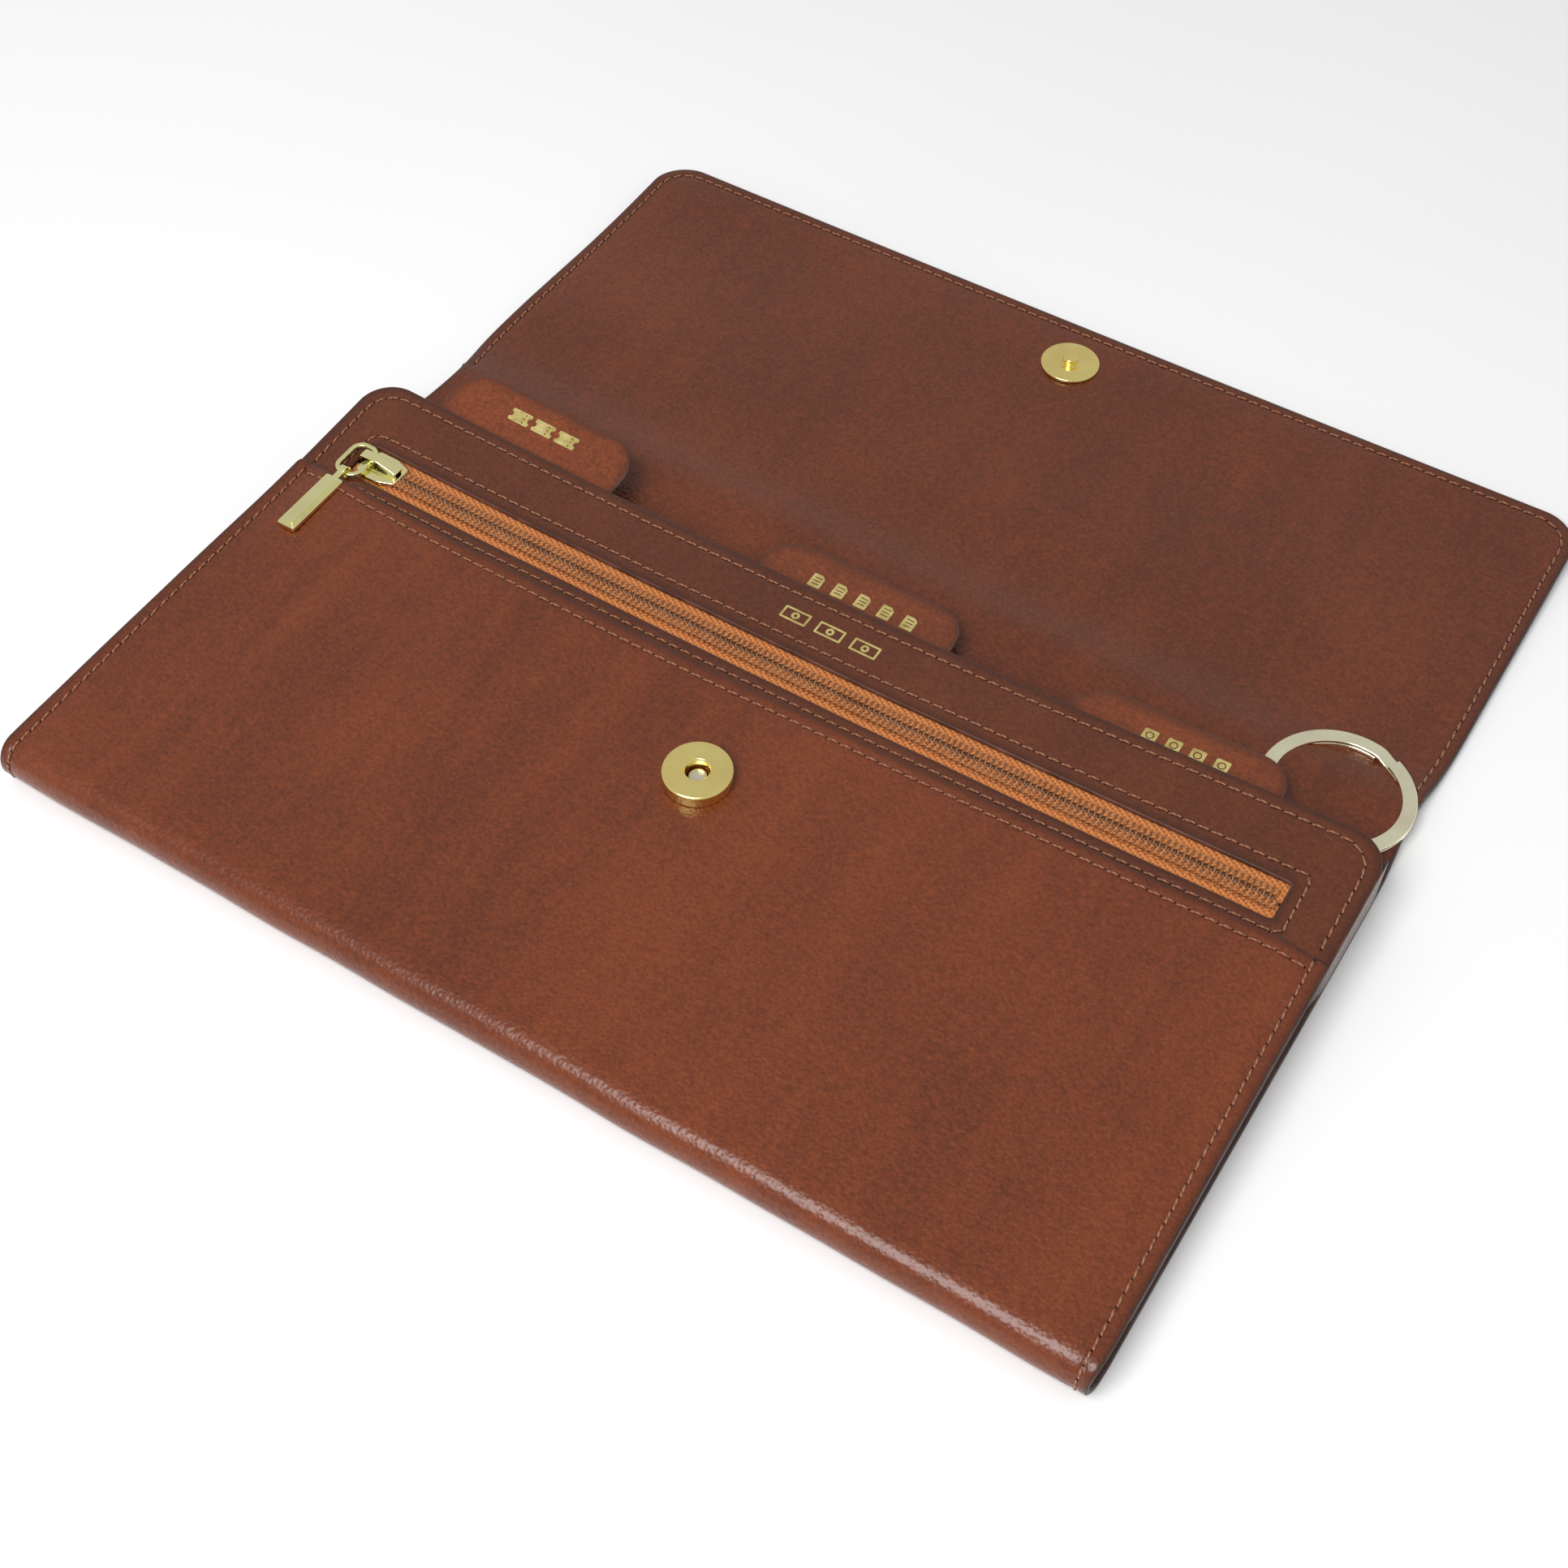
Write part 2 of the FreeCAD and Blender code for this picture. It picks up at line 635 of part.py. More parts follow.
def puller_pendant():
    """Stepped rectangular pendant with an eye round the link's near end."""
    x = LINK_X + LINK_WIRE / 2 - LINK_HALF_WIDTH
    eye_y = LINK_Y - LINK_HALF_LENGTH + LINK_WIRE / 2
    eye = Part.makeCylinder(1.5, 1.6, Vector(x - 0.8, eye_y, LINK_Z), Vector(1, 0, 0))
    hole = Part.makeCylinder(0.95, 1.6, Vector(x - 0.8, eye_y, LINK_Z), Vector(1, 0, 0))
    top_y = eye_y - 2.8
    low_y = top_y - PENDANT_LENGTH
    half = PENDANT_WIDTH / 2
    low = LINK_Z
    body = plate(rectangle(x - half, low_y, x + half, top_y, 0.5), low, low + 0.9)
    for shrink, rise in ((0.5, 1.2), (1.0, 1.5)):
        step = rectangle(x - half + shrink, low_y + shrink, x + half - shrink, top_y - shrink, 0.3)
        body = body.fuse(plate(step, low, low + rise))
    neck = plate(rectangle(x - 0.8, top_y - 0.5, x + 0.8, eye_y - 1.1), low, low + 0.9)
    return body.fuse(neck).fuse(eye).cut(hole).removeSplitter()


# Key strap and split ring

def key_strap():
    """Leather strap from the rear compartment, looped round the ring's band."""
    low = OUTER + LINING + 0.05
    half = STRAP_WIDTH / 2
    band_low = RING_Y - RING_OUTER
    loop_start, loop_end = band_low - 0.9, band_low + 4.9
    high = RING_BOTTOM + RING_THICKNESS + 0.45 + STRAP_LAYER
    outer = [(loop_start, low, 0.6), (loop_end, low, 1.2), (loop_end, high, 1.2),
             (loop_start, high, 1.2)]
    layer = STRAP_LAYER
    inner = [(loop_start + layer + 0.2, low + layer, 0.8), (loop_end - layer, low + layer, 0.8),
             (loop_end - layer, high - layer, 0.8), (loop_start + layer + 0.2, high - layer, 0.8)]
    loop = side_profile(outer, RING_X - half, RING_X + half)
    loop = loop.cut(side_profile(inner, RING_X - half, RING_X + half))
    tongue_outline = rectangle(RING_X - half, STRAP_END_Y, RING_X + half, loop_start + 0.4)
    tongue = plate(tongue_outline, low, low + 2.5 * layer)
    return loop.fuse(tongue).removeSplitter()


def key_ring():
    """Flat split ring of two turns: a slot round it and a gap at the outer end."""
    low = RING_BOTTOM
    high = low + RING_THICKNESS
    middle = (low + high) / 2
    ring = tube(RING_X, RING_Y, RING_OUTER, RING_INNER, low, high)
    slot = tube(RING_X, RING_Y, RING_OUTER + 1, RING_OUTER - 0.3, middle - 0.06, middle + 0.06)
    gap = Part.makeBox(4.5, 0.9, 1.0, Vector(RING_INNER - 0.6, -0.45, middle))
    gap.rotate(Vector(0, 0, 0), Vector(0, 0, 1), 52)
    gap.translate(Vector(RING_X, RING_Y, 0))
    return ring.cut(slot).cut(gap)


def save_base():
    """Pieces that stay with the back."""
    save("back_panel", back_panel())
    save("back_lining", back_lining())
    save("bottom_fold", *bottom_fold())
    save("gusset_left", gusset(-1))
    save("gusset_right", gusset(1))


def save_front():
    """Pieces that swing with the front when the mouth opens."""
    pieces = {
        "pocket_panel": [pocket_panel()],
        "zip_panel": [zip_panel()],
        "zip_tape_upper": [zip_tape(1)],
        "zip_tape_lower": [zip_tape(-1)],
        "zip_coil_upper": [zip_coil(1)],
        "zip_coil_lower": [zip_coil(-1)],
        "zip_stops": zip_stops(),
        "zip_bag_front": [cloth_front()],
        "zip_bag_back": [cloth_back()],
        "snap_cap": snap_cap(),
        "snap_magnet": [snap_magnet()],
        "snap_post": [snap_post()],
        "snap_washer": [snap_washer()],
        "thread_body": thread_body(),
        "thread_pocket": [thread_pocket()],
        "thread_window": [thread_window()],
        "foil_front": front_marks(),
        "slider_body": [slider_body()],
        "slider_bridge": [slider_bridge()],
        "puller_link": [puller_link()],
        "puller_pendant": [puller_pendant()],
    }
    for name, solids in pieces.items():
        save(name, *[lean_front(solid) for solid in solids])


def save_dividers():
    """Three dividers, rear one first, and the marks on their tabs."""
    save("divider_rear", divider(0))
    save("divider_middle", divider(1))
    save("divider_front", divider(2))
    save("foil_rear", *divider_marks(0, booklet_mark, 4, 5.4, 78.0, 133.0))
    save("foil_middle", *divider_marks(1, sheet_mark, 5, 5.8, 1.1, 132.6))
    save("foil_tickets", *divider_marks(2, ticket_mark, 3, 6.4, -85.6, 135.4))


def save_flap():
    """Strip between the creases, and the flap with its half of the snap."""
    save("spine_panel", spine_panel())
    save("spine_lining", spine_lining())
    save("flap_panel", flap_panel())
    save("flap_lining", flap_lining())
    save("snap_stud", stud_disc())
    save("stud_washer", stud_washer())
    save("thread_flap", thread_flap())


def save_keys():
    """Key strap and split ring."""
    save("key_strap", key_strap())
    save("key_ring", key_ring())


os.makedirs("parts", exist_ok=True)
save_base()
save_front()
save_dividers()
save_flap()
save_keys()
print("crease angle %.3f deg, spine %.3f mm, stud at y %.3f mm from the fold"
      % (crease_angle(), spine_length(), STUD_Y))
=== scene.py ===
import math

import bmesh
import bpy
import numpy as np
from mathutils import Matrix, Vector
from mathutils.geometry import delaunay_2d_cdt
from mathutils.kdtree import KDTree


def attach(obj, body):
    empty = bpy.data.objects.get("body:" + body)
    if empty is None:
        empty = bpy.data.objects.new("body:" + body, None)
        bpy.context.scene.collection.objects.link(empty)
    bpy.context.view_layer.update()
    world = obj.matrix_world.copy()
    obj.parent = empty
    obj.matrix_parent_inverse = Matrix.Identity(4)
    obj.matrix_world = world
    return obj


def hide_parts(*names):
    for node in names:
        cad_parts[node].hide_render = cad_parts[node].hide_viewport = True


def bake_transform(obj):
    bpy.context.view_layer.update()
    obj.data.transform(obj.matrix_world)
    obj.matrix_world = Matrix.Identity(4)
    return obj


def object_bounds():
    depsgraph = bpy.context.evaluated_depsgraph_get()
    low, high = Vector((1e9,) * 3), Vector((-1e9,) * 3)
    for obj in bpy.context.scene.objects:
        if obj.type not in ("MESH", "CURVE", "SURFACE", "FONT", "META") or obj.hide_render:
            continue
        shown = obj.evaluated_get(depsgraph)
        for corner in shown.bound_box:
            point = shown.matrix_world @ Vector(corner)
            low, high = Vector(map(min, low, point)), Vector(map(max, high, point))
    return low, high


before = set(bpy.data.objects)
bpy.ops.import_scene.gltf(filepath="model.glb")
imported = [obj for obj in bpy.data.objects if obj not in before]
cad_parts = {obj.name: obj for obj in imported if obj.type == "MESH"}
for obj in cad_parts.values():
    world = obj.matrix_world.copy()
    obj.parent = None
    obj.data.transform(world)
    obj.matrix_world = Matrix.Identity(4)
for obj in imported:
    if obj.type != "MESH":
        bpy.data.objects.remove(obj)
cad_low, cad_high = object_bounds()

# Shapes are drawn in millimetres with Y = 0 at the bottom fold's outer face, as the
# CAD parts are, and placed in the frame in metres by to_world().

MM = 0.001
HALF = cad_high.x / MM
OPEN_DEPTH = (cad_high.y - cad_low.y) / MM

# Lines of the CAD parts that the soft pieces follow
FOLD_RADIUS = 5.0
MOUTH_Y, MOUTH_Z = 6.15, 9.4
MOUTH_TILT = math.radians(2.55)
FRONT_HEIGHT = 127.0
POCKET_TOP = 10.0
POCKET_EDGE = 96.0
POCKET_THICKNESS = 1.2
ZIP_PANEL_TOP = 8.4
ZIP_PANEL_THICKNESS = 1.15
BACK_END = 130.0
CREASE_END = 151.5
BACK_THICKNESS = 2.0
FOLD_THICKNESS = 1.3
WINDOW = (-114.0, 100.0, 111.2, 109.2)
ZIP_Y = 104.6
TAPE_BOTTOM = 6.8
TAPE = 0.4
SLIDER_X, SLIDER_LENGTH, SLIDER_TOP = -112.7, 10.5, 9.42
SLIDER_MIDDLE, SLIDER_DROP, SLIDER_PLATE = -108.0, 0.60, 0.7
LINK_X, LINK_Y, LINK_Z = -110.2, 103.0, 10.5
SNAP_Y = 70.0
STUD_Y = 233.0
DIVIDER_HINGE_Y = 8.0
DIVIDER = 0.8
DIVIDER_HALF = 121.0
DIVIDER_TOP = 122.0
TAB_TOP = 140.5
TAB_WIDTH = 48.4
RING_X, RING_Y = 107.9, 144.0
RING_OUTER, RING_INNER = 16.45, 13.3
RING_BOTTOM, RING_THICKNESS = 2.75, 1.8

ARC_LENGTH = math.pi * FOLD_RADIUS
BACK_START = FOLD_RADIUS - ARC_LENGTH

STITCH = 3.0
THREAD_WIDTH = 0.46
THREAD_HEIGHT = 0.32
SEAM_INSET = 3.0
FLAP_SEAM_INSET = 2.6
METAL_SINK = 0.05


# Small numeric helpers

def smooth(t):
    """Smoothstep of t, held to 0..1."""
    t = np.clip(t, 0.0, 1.0)
    return t * t * (3 - 2 * t)


def bump_at(x, centre, width):
    """Soft bump of height 1 at centre."""
    return np.exp(-((x - centre) / width) ** 2)


def ripple(x, y, scale):
    """Gentle uneven waves of a hand-made surface, about -1 to 1."""
    a = np.sin(0.113 * x / scale + 0.071 * y / scale + 0.4)
    b = np.sin(0.067 * x / scale - 0.139 * y / scale + 1.9)
    c = np.sin(0.181 * x / scale + 0.023 * y / scale + 4.1)
    return (a + b + 0.7 * c) / 2.7


def to_world(points):
    """Millimetre points from the fold, as metres in the frame."""
    return points * MM + np.array([0.0, cad_low.y, 0.0])


def turn(points, y, z, angle):
    """Turn points about a line along X through (y, z)."""
    dy = points[:, 1] - y
    dz = points[:, 2] - z
    cos, sin = np.cos(angle), np.sin(angle)
    return np.column_stack([points[:, 0], y + dy * cos - dz * sin, z + dy * sin + dz * cos])


# How the soft leather lies

def front_lift(x, y):
    """Height of the front over its flat lean: the ends stand up and the middle sags."""
    reach = np.clip((y - 10) / 117, 0, 1.1)
    ends = 1.1 * smooth(x / 110) + 0.9 * smooth((-x - 60) / 65)
    return reach ** 2 * (0.000192 * x ** 2 - 1.0) + reach ** 4 * ends


def place_front(points):
    """Put points drawn on the flat front on the real one."""
    placed = turn(points, MOUTH_Y, MOUTH_Z, MOUTH_TILT)
    placed[:, 2] += front_lift(points[:, 0], points[:, 1])
    return placed


def pocket_gape(x, y):
    """The slip pocket's edge stands off the zip panel left of the middle."""
    return 0.9 * bump_at(x, -32, 48) * smooth((y - 78) / 20)


def pressed_edge(x, y):
    """The pocket's leather is pressed thin where the side seams end."""
    return 1.0 * smooth((np.abs(x) - 115) / 7) * smooth((y - 55) / 38)


def strip_surface(x, v):
    """Outer face of the strip: pocket (v > 0), round the fold, then the back."""
    angle = np.clip((FOLD_RADIUS - v) / FOLD_RADIUS, 0, math.pi)
    y = FOLD_RADIUS - FOLD_RADIUS * np.sin(angle)
    z = FOLD_RADIUS + FOLD_RADIUS * np.cos(angle)
    y = y + np.maximum(v - FOLD_RADIUS, 0) + np.maximum(BACK_START - v, 0)
    on_front = smooth((v + 2) / 12)
    points = np.column_stack([x, y, z])
    placed = turn(points, MOUTH_Y, MOUTH_Z, MOUTH_TILT * on_front)
    placed[:, 2] += on_front * (front_lift(x, y) + pocket_gape(x, y))
    placed[:, 2] += 0.16 * on_front * ripple(x, y, 1.0)
    placed[:, 2] -= pressed_edge(x, y) * on_front
    fold = np.exp(-((v + 3) / 7) ** 2)
    placed[:, 1] += fold * (0.22 * ripple(x, y, 0.8) + 0.25)
    placed[:, 2] += smooth((-v - 110) / 30) * back_hump(y)
    return placed


def strip_thickness(x, v):
    """Pocket leather, fold leather, then back leather with its lining."""
    pressed = 0.4 * smooth((np.abs(x) - 117) / 3) * smooth((v - 12) / 6)
    back = (BACK_THICKNESS - FOLD_THICKNESS) * smooth((BACK_START - v - 3) / 8)
    pocket = (POCKET_THICKNESS - FOLD_THICKNESS) * smooth(v / 6)
    return FOLD_THICKNESS + back + pocket + pressed - pressed_edge(x, v)


def zip_panel_surface(x, y):
    """Top face of the upper front leather."""
    flat = np.column_stack([x, y, np.full_like(x, ZIP_PANEL_TOP)])
    placed = place_front(flat)
    near_window = bump_at(y, ZIP_Y, 9) * smooth((118 - np.abs(x)) / 8)
    placed[:, 2] += 0.12 * ripple(x, y, 0.9) + 0.15 * near_window
    return placed


def back_hump(y):
    """Soft rise of the leather over the creases."""
    return 2.4 * bump_at(y, 147, 10)


def flap_surface(x, y):
    """Top face of the flap and the strip before it, lying open."""
    z = BACK_THICKNESS + back_hump(y)
    far = np.clip((y - 200) / 47, 0, 1)
    z = z + far ** 2 * (1.5 + 0.6 * (x / HALF) ** 2)
    z = z + 0.35 * smooth((y - 165) / 20) * (1 + ripple(x, y, 1.7)) * smooth((247 - y) / 10)
    return np.column_stack([x, y, z])


def flap_waist(x, y):
    """Pull of the sides towards the middle at the crease."""
    depth = 2.3 - 1.0 * np.sign(x)
    return -np.sign(x) * depth * bump_at(y, 147, 12) * (np.abs(x) / HALF) ** 6


class Divider:
    """One divider: its lean, its tab and how the tab curls."""

    def __init__(self, name, bottom, tilt, tab, share, curl, droop):
        self.name = name
        self.bottom = bottom
        self.tilt = math.radians(tilt)
        self.tab = tab
        self.share = share
        self.curl = curl
        self.droop = droop

    def lift(self, x, y):
        """Height over the flat lean."""
        curl = self.curl * np.clip((y - 116) / 25, 0, 1) ** 1.5
        end = self.droop * smooth((x - 60) / 45) * smooth((y - 110) / 30)
        return self.share * front_lift(x, y) + curl + end

    def surface(self, x, y):
        """Top face."""
        flat = np.column_stack([x, y, np.full_like(x, self.bottom + DIVIDER)])
        placed = turn(flat, DIVIDER_HINGE_Y, self.bottom + DIVIDER / 2, self.tilt)
        placed[:, 2] += self.lift(x, y) + 0.08 * ripple(x, y + self.tab, 0.7)
        return placed


DIVIDERS = (
    Divider("divider_rear", 2.3, 2.05, 76.0, 0.2, 0.0, 1.3),
    Divider("divider_middle", 3.4, 2.21, -0.2, 0.45, 0.6, 0.0),
    Divider("divider_front", 4.5, 2.38, -86.2, 0.7, 3.4, 0.0),
)


# Outlines

def corner_points(before, corner, after, radius, step):
    """Points of one corner: itself, or an arc that rounds it."""
    if radius <= 0:
        return [corner]
    to_before = (before - corner) / np.linalg.norm(before - corner)
    to_after = (after - corner) / np.linalg.norm(after - corner)
    half = math.acos(np.clip(to_before @ to_after, -1, 1)) / 2
    middle = to_before + to_after
    centre = corner + middle / np.linalg.norm(middle) * radius / math.sin(half)
    first = corner + to_before * radius / math.tan(half) - centre
    last = corner + to_after * radius / math.tan(half) - centre
    start = math.atan2(first[1], first[0])
    sweep = math.atan2(last[1], last[0]) - start
    sweep = (sweep + math.pi) % (2 * math.pi) - math.pi
    count = max(4, int(abs(sweep) * radius / step))
    angles = start + sweep * np.arange(count + 1) / count
    return [centre + radius * np.array([math.cos(a), math.sin(a)]) for a in angles]


def outline(corners, closed=True, step=1.0):
    """Line through (x, y, radius) corners, as points at most a step apart."""
    places = [np.array(corner[:2], float) for corner in corners]
    count = len(corners)
    groups = []
    for i, corner in enumerate(corners):
        radius = corner[2] if closed or 0 < i < count - 1 else 0
        around = places[i - 1], places[i], places[(i + 1) % count]
        groups.append(corner_points(*around, radius, 0.5 * step))
    points = []
    for i, group in enumerate(groups):
        points.extend(group)
        if closed or i < count - 1:
            gap = groups[(i + 1) % count][0] - group[-1]
            parts = int(np.linalg.norm(gap) / step) + 1
            points.extend(group[-1] + gap * j / parts for j in range(1, parts))
    return np.array(points)


def rectangle(x0, y0, x1, y1, near=0, far=0):
    """Corners of a rectangle, rounded by those radii at its y0 and y1 sides."""
    return [(x0, y0, near), (x1, y0, near), (x1, y1, far), (x0, y1, far)]


def evenly(line, pitch):
    """Points on a line about a pitch apart, its two ends among them."""
    lengths = np.linalg.norm(np.diff(line, axis=0), axis=1)
    along = np.concatenate([[0], np.cumsum(lengths)])
    count = max(1, round(along[-1] / pitch))
    places = np.linspace(0, along[-1], count + 1)
    return np.column_stack([np.interp(places, along, line[:, i]) for i in (0, 1)])


def counter_clockwise(loop):
    """The loop, turned round if it runs clockwise."""
    x, y = loop[:, 0], loop[:, 1]
    area = np.sum(x * np.roll(y, -1) - np.roll(x, -1) * y)
    return loop if area > 0 else loop[::-1]


def inward(loop):
    """Unit directions to the left of a closed loop, at each of its points."""
    along = np.roll(loop, -1, axis=0) - np.roll(loop, 1, axis=0)
    along /= np.linalg.norm(along, axis=1)[:, None]
    return np.column_stack([-along[:, 1], along[:, 0]])


def inside(points, loops):
    """Whether each point is within the loops, holes left out."""
    odd = np.zeros(len(points), bool)
    x, y = points[:, 0], points[:, 1]
    for loop in loops:
        for (x0, y0), (x1, y1) in zip(loop, np.roll(loop, -1, axis=0)):
            crosses = (y0 > y) != (y1 > y)
            if crosses.any():
                edge = x0 + (y[crosses] - y0) * (x1 - x0) / (y1 - y0)
                odd[crosses] ^= x[crosses] < edge
    return odd


def nearest(points, targets):
    """Distance from each point to the nearest of the targets."""
    if len(targets) == 0:
        return np.full(len(points), 1e3)
    tree = KDTree(len(targets))
    for i, (x, y) in enumerate(targets):
        tree.insert((x, y, 0), i)
    tree.balance()
    return np.array([tree.find((x, y, 0))[2] for x, y in points])


# Meshes

def make(name, points, faces, materials, slots=None, world=True, sharp=40):
    """A smooth-shaded mesh object; slots gives each face's material number."""
    mesh = bpy.data.meshes.new(name)
    placed = to_world(np.asarray(points, float)) if world else np.asarray(points, float)
    mesh.from_pydata(placed.tolist(), [], faces)
    for material in materials:
        mesh.materials.append(material)
    if slots is not None:
        mesh.polygons.foreach_set("material_index", np.asarray(slots, np.int32))
    mesh.validate()
    mesh.shade_smooth()
    mesh.set_sharp_from_angle(angle=math.radians(sharp))
    obj = bpy.data.objects.new(name, mesh)
    bpy.context.scene.collection.objects.link(obj)
    return obj


def attribute(obj, name, values):
    """Store one number for each vertex, for the material to read."""
    layer = obj.data.attributes.new(name, "FLOAT", "POINT")
    layer.data.foreach_set("value", np.asarray(values, np.float32))


def normals(surface, u, v):
    """Unit normals of a surface, from small steps along it."""
    step = 0.05
    across = surface(u + step, v) - surface(u - step, v)
    along = surface(u, v + step) - surface(u, v - step)
    out = np.cross(across, along)
    return out / np.linalg.norm(out, axis=1)[:, None]


GROOVE_WIDTH = 0.75
DIMPLE_WIDTH, DIMPLE_DEPTH = 0.5, 1.4


class Seam:
    """A row of stitches on a sheet: its needle holes and the groove it pulls."""

    def __init__(self, line, face=1, depth=0.16):
        self.holes = evenly(line, STITCH)
        self.fine = evenly(line, STITCH / 4)
        self.face = face
        self.depth = depth

    def beside(self, offset):
        """Points beside the line, for the mesh to bend at."""
        along = np.gradient(self.fine, axis=0)
        along /= np.linalg.norm(along, axis=1)[:, None]
        return self.fine + offset * np.column_stack([-along[:, 1], along[:, 0]])

    def sink(self, flat):
        """How far the leather is pulled in at each flat point."""
        groove = np.exp(-(nearest(flat, self.fine) / GROOVE_WIDTH) ** 2)
        dimple = np.exp(-(nearest(flat, self.holes) / DIMPLE_WIDTH) ** 2)
        return self.depth * groove + DIMPLE_DEPTH * self.depth * dimple


def grid_points(loops, step, keep_off, clear):
    """Staggered points inside the loops, off the points that are there already."""
    low, high = loops[0].min(0), loops[0].max(0)
    rows = []
    for i, y in enumerate(np.arange(low[1] + step / 2, high[1], step * 0.87)):
        x = np.arange(low[0] + step / 2 * (i % 2), high[0], step)
        rows.append(np.column_stack([x, np.full_like(x, y)]))
    points = np.concatenate(rows)
    points = points[inside(points, loops)]
    return points[nearest(points, keep_off) > clear]


def triangles(loops, inner):
    """Triangles between the loops through the inner points, and the points used."""
    points, edges = [], []
    for loop in loops:
        first, count = len(points), len(loop)
        points.extend(Vector(p) for p in loop)
        edges.extend((first + i, first + (i + 1) % count) for i in range(count))
    points.extend(Vector(p) for p in inner)
    flat, _, faces, origins, _, _ = delaunay_2d_cdt(points, edges, [], 0, 1e-4, True)
    flat = np.array([tuple(p) for p in flat])
    faces = np.array(faces)
    centres = flat[faces].mean(axis=1)
    faces = faces[inside(centres, loops)]
    place = {origin: i for i, found in enumerate(origins) for origin in found}
    rims, first = [], 0
    for loop in loops:
        rims.append(np.array([place[first + i] for i in range(len(loop))]))
        first += len(loop)
    return flat, faces, rims


EDGE_RINGS = 6
BESIDE_SEAM = (-1.1, -0.55, 0.55, 1.1)
WORN_WIDTH = 0.9


def sheet(name, loops, surface, thickness, materials, seams=(), step=1.8, edge=0.4,
          joined=()):
    """Leather or cloth cut to flat loops, laid on a surface, with rounded edges.
    materials are for the top, the edge and the underside; joined are the heights of the
    straight ends that go on without a break in the next piece."""
    loops = [counter_clockwise(loops[0])] + [counter_clockwise(hole)[::-1] for hole in loops[1:]]
    cut = [np.array([all(abs(v - end) > 1e-6 for end in joined) for v in loop[:, 1]])
           for loop in loops]
    into = [inward(loop) * free[:, None] for loop, free in zip(loops, cut)]
    rims_flat = [loop + edge * side for loop, side in zip(loops, into)]
    fine = [seam.fine for seam in seams]
    fine += [seam.beside(offset) for seam in seams for offset in BESIDE_SEAM]
    fine = np.concatenate(fine) if fine else np.zeros((0, 2))
    rim_points = np.concatenate(rims_flat)
    if len(fine):
        fine = fine[inside(fine, rims_flat)]
        fine = fine[nearest(fine, rim_points) > 0.3]
    taken = np.concatenate([rim_points, fine])
    inner = np.concatenate([fine, grid_points(rims_flat, step, taken, 0.55 * min(step, 1.8))])
    flat, faces, rims = triangles(rims_flat, inner)

    thick = thickness if callable(thickness) else lambda u, v: np.full_like(u, thickness)
    u, v = flat[:, 0], flat[:, 1]
    top = surface(u, v)
    out = normals(surface, u, v)
    through = thick(u, v)[:, None] * out
    pulled = {1: np.zeros(len(flat)), -1: np.zeros(len(flat))}
    for seam in seams:
        pulled[seam.face] += seam.sink(flat)
    count = len(flat)
    points = [top - pulled[1][:, None] * out, top - through + pulled[-1][:, None] * out]
    rim_distance = nearest(flat, np.concatenate([loop[free] for loop, free in zip(loops, cut)]))
    # Darker at the cut edges, where the real leather is burnished, and painted shade in the stitch
    # grooves and needle dimples, stronger where they sink deeper.
    wear_and_groove_shade = np.exp(-((rim_distance - edge) / WORN_WIDTH)) + 0.8 * (pulled[1] + pulled[-1])
    wear_and_groove_shades = [wear_and_groove_shade, wear_and_groove_shade]
    all_faces = [tuple(f) for f in faces] + [tuple(f[::-1] + count) for f in faces]
    slots = [0] * len(faces) + [2] * len(faces)
    start = 2 * count
    for loop, side, rim, free in zip(loops, into, rims, cut):
        rings = [rim]
        for k in range(1, EDGE_RINGS):
            turned = math.pi * k / EDGE_RINGS
            place = loop + edge * (1 - math.sin(turned)) * side
            u, v = place[:, 0], place[:, 1]
            down = (1 - math.cos(turned)) / 2 * thick(u, v)[:, None]
            points.append(surface(u, v) - down * normals(surface, u, v))
            wear_and_groove_shades.append(free.astype(float))
            rings.append(start + np.arange(len(loop)))
            start += len(loop)
        rings.append(rim + count)
        for upper, lower in zip(rings, rings[1:]):
            after_upper, after_lower = np.roll(upper, -1), np.roll(lower, -1)
            quads = np.column_stack([upper, lower, after_lower, after_upper])
            all_faces.extend(map(tuple, quads))
            slots.extend(np.where(free | np.roll(free, -1), 1, 0).tolist())
    obj = make(name, np.concatenate(points), [tuple(map(int, f)) for f in all_faces],
               materials, slots, sharp=60)
    attribute(obj, "wear_and_groove_shade", np.clip(np.concatenate(wear_and_groove_shades), 0, 1))
    return obj


def tube_faces(rings, around, closed=False):
    """Quads of a tube of rings, and its two ends unless it runs into itself."""
    faces = []
    for i in range(rings if closed else rings - 1):
        for j in range(around):
            a = i * around + j
            b = i * around + (j + 1) % around
            c = (i + 1) % rings * around + (j + 1) % around
            d = (i + 1) % rings * around + j
            faces.append((a, b, c, d))
    if not closed:
        last = (rings - 1) * around
        faces.append(tuple(reversed(range(around))))
        faces.append(tuple(range(last, last + around)))
    return faces


def repeat_faces(faces, points, count):
    """The faces of one shape, for that many copies of its points."""
    return [tuple(i + k * points for i in face) for k in range(count) for face in faces]


STITCH_RINGS = 7
STITCH_AROUND = 8
THREAD_DIP, THREAD_RISE = 0.30, 0.34
HOLE_AROUND = 8
HOLE_RIM, HOLE_BOTTOM = 0.10, 0.42


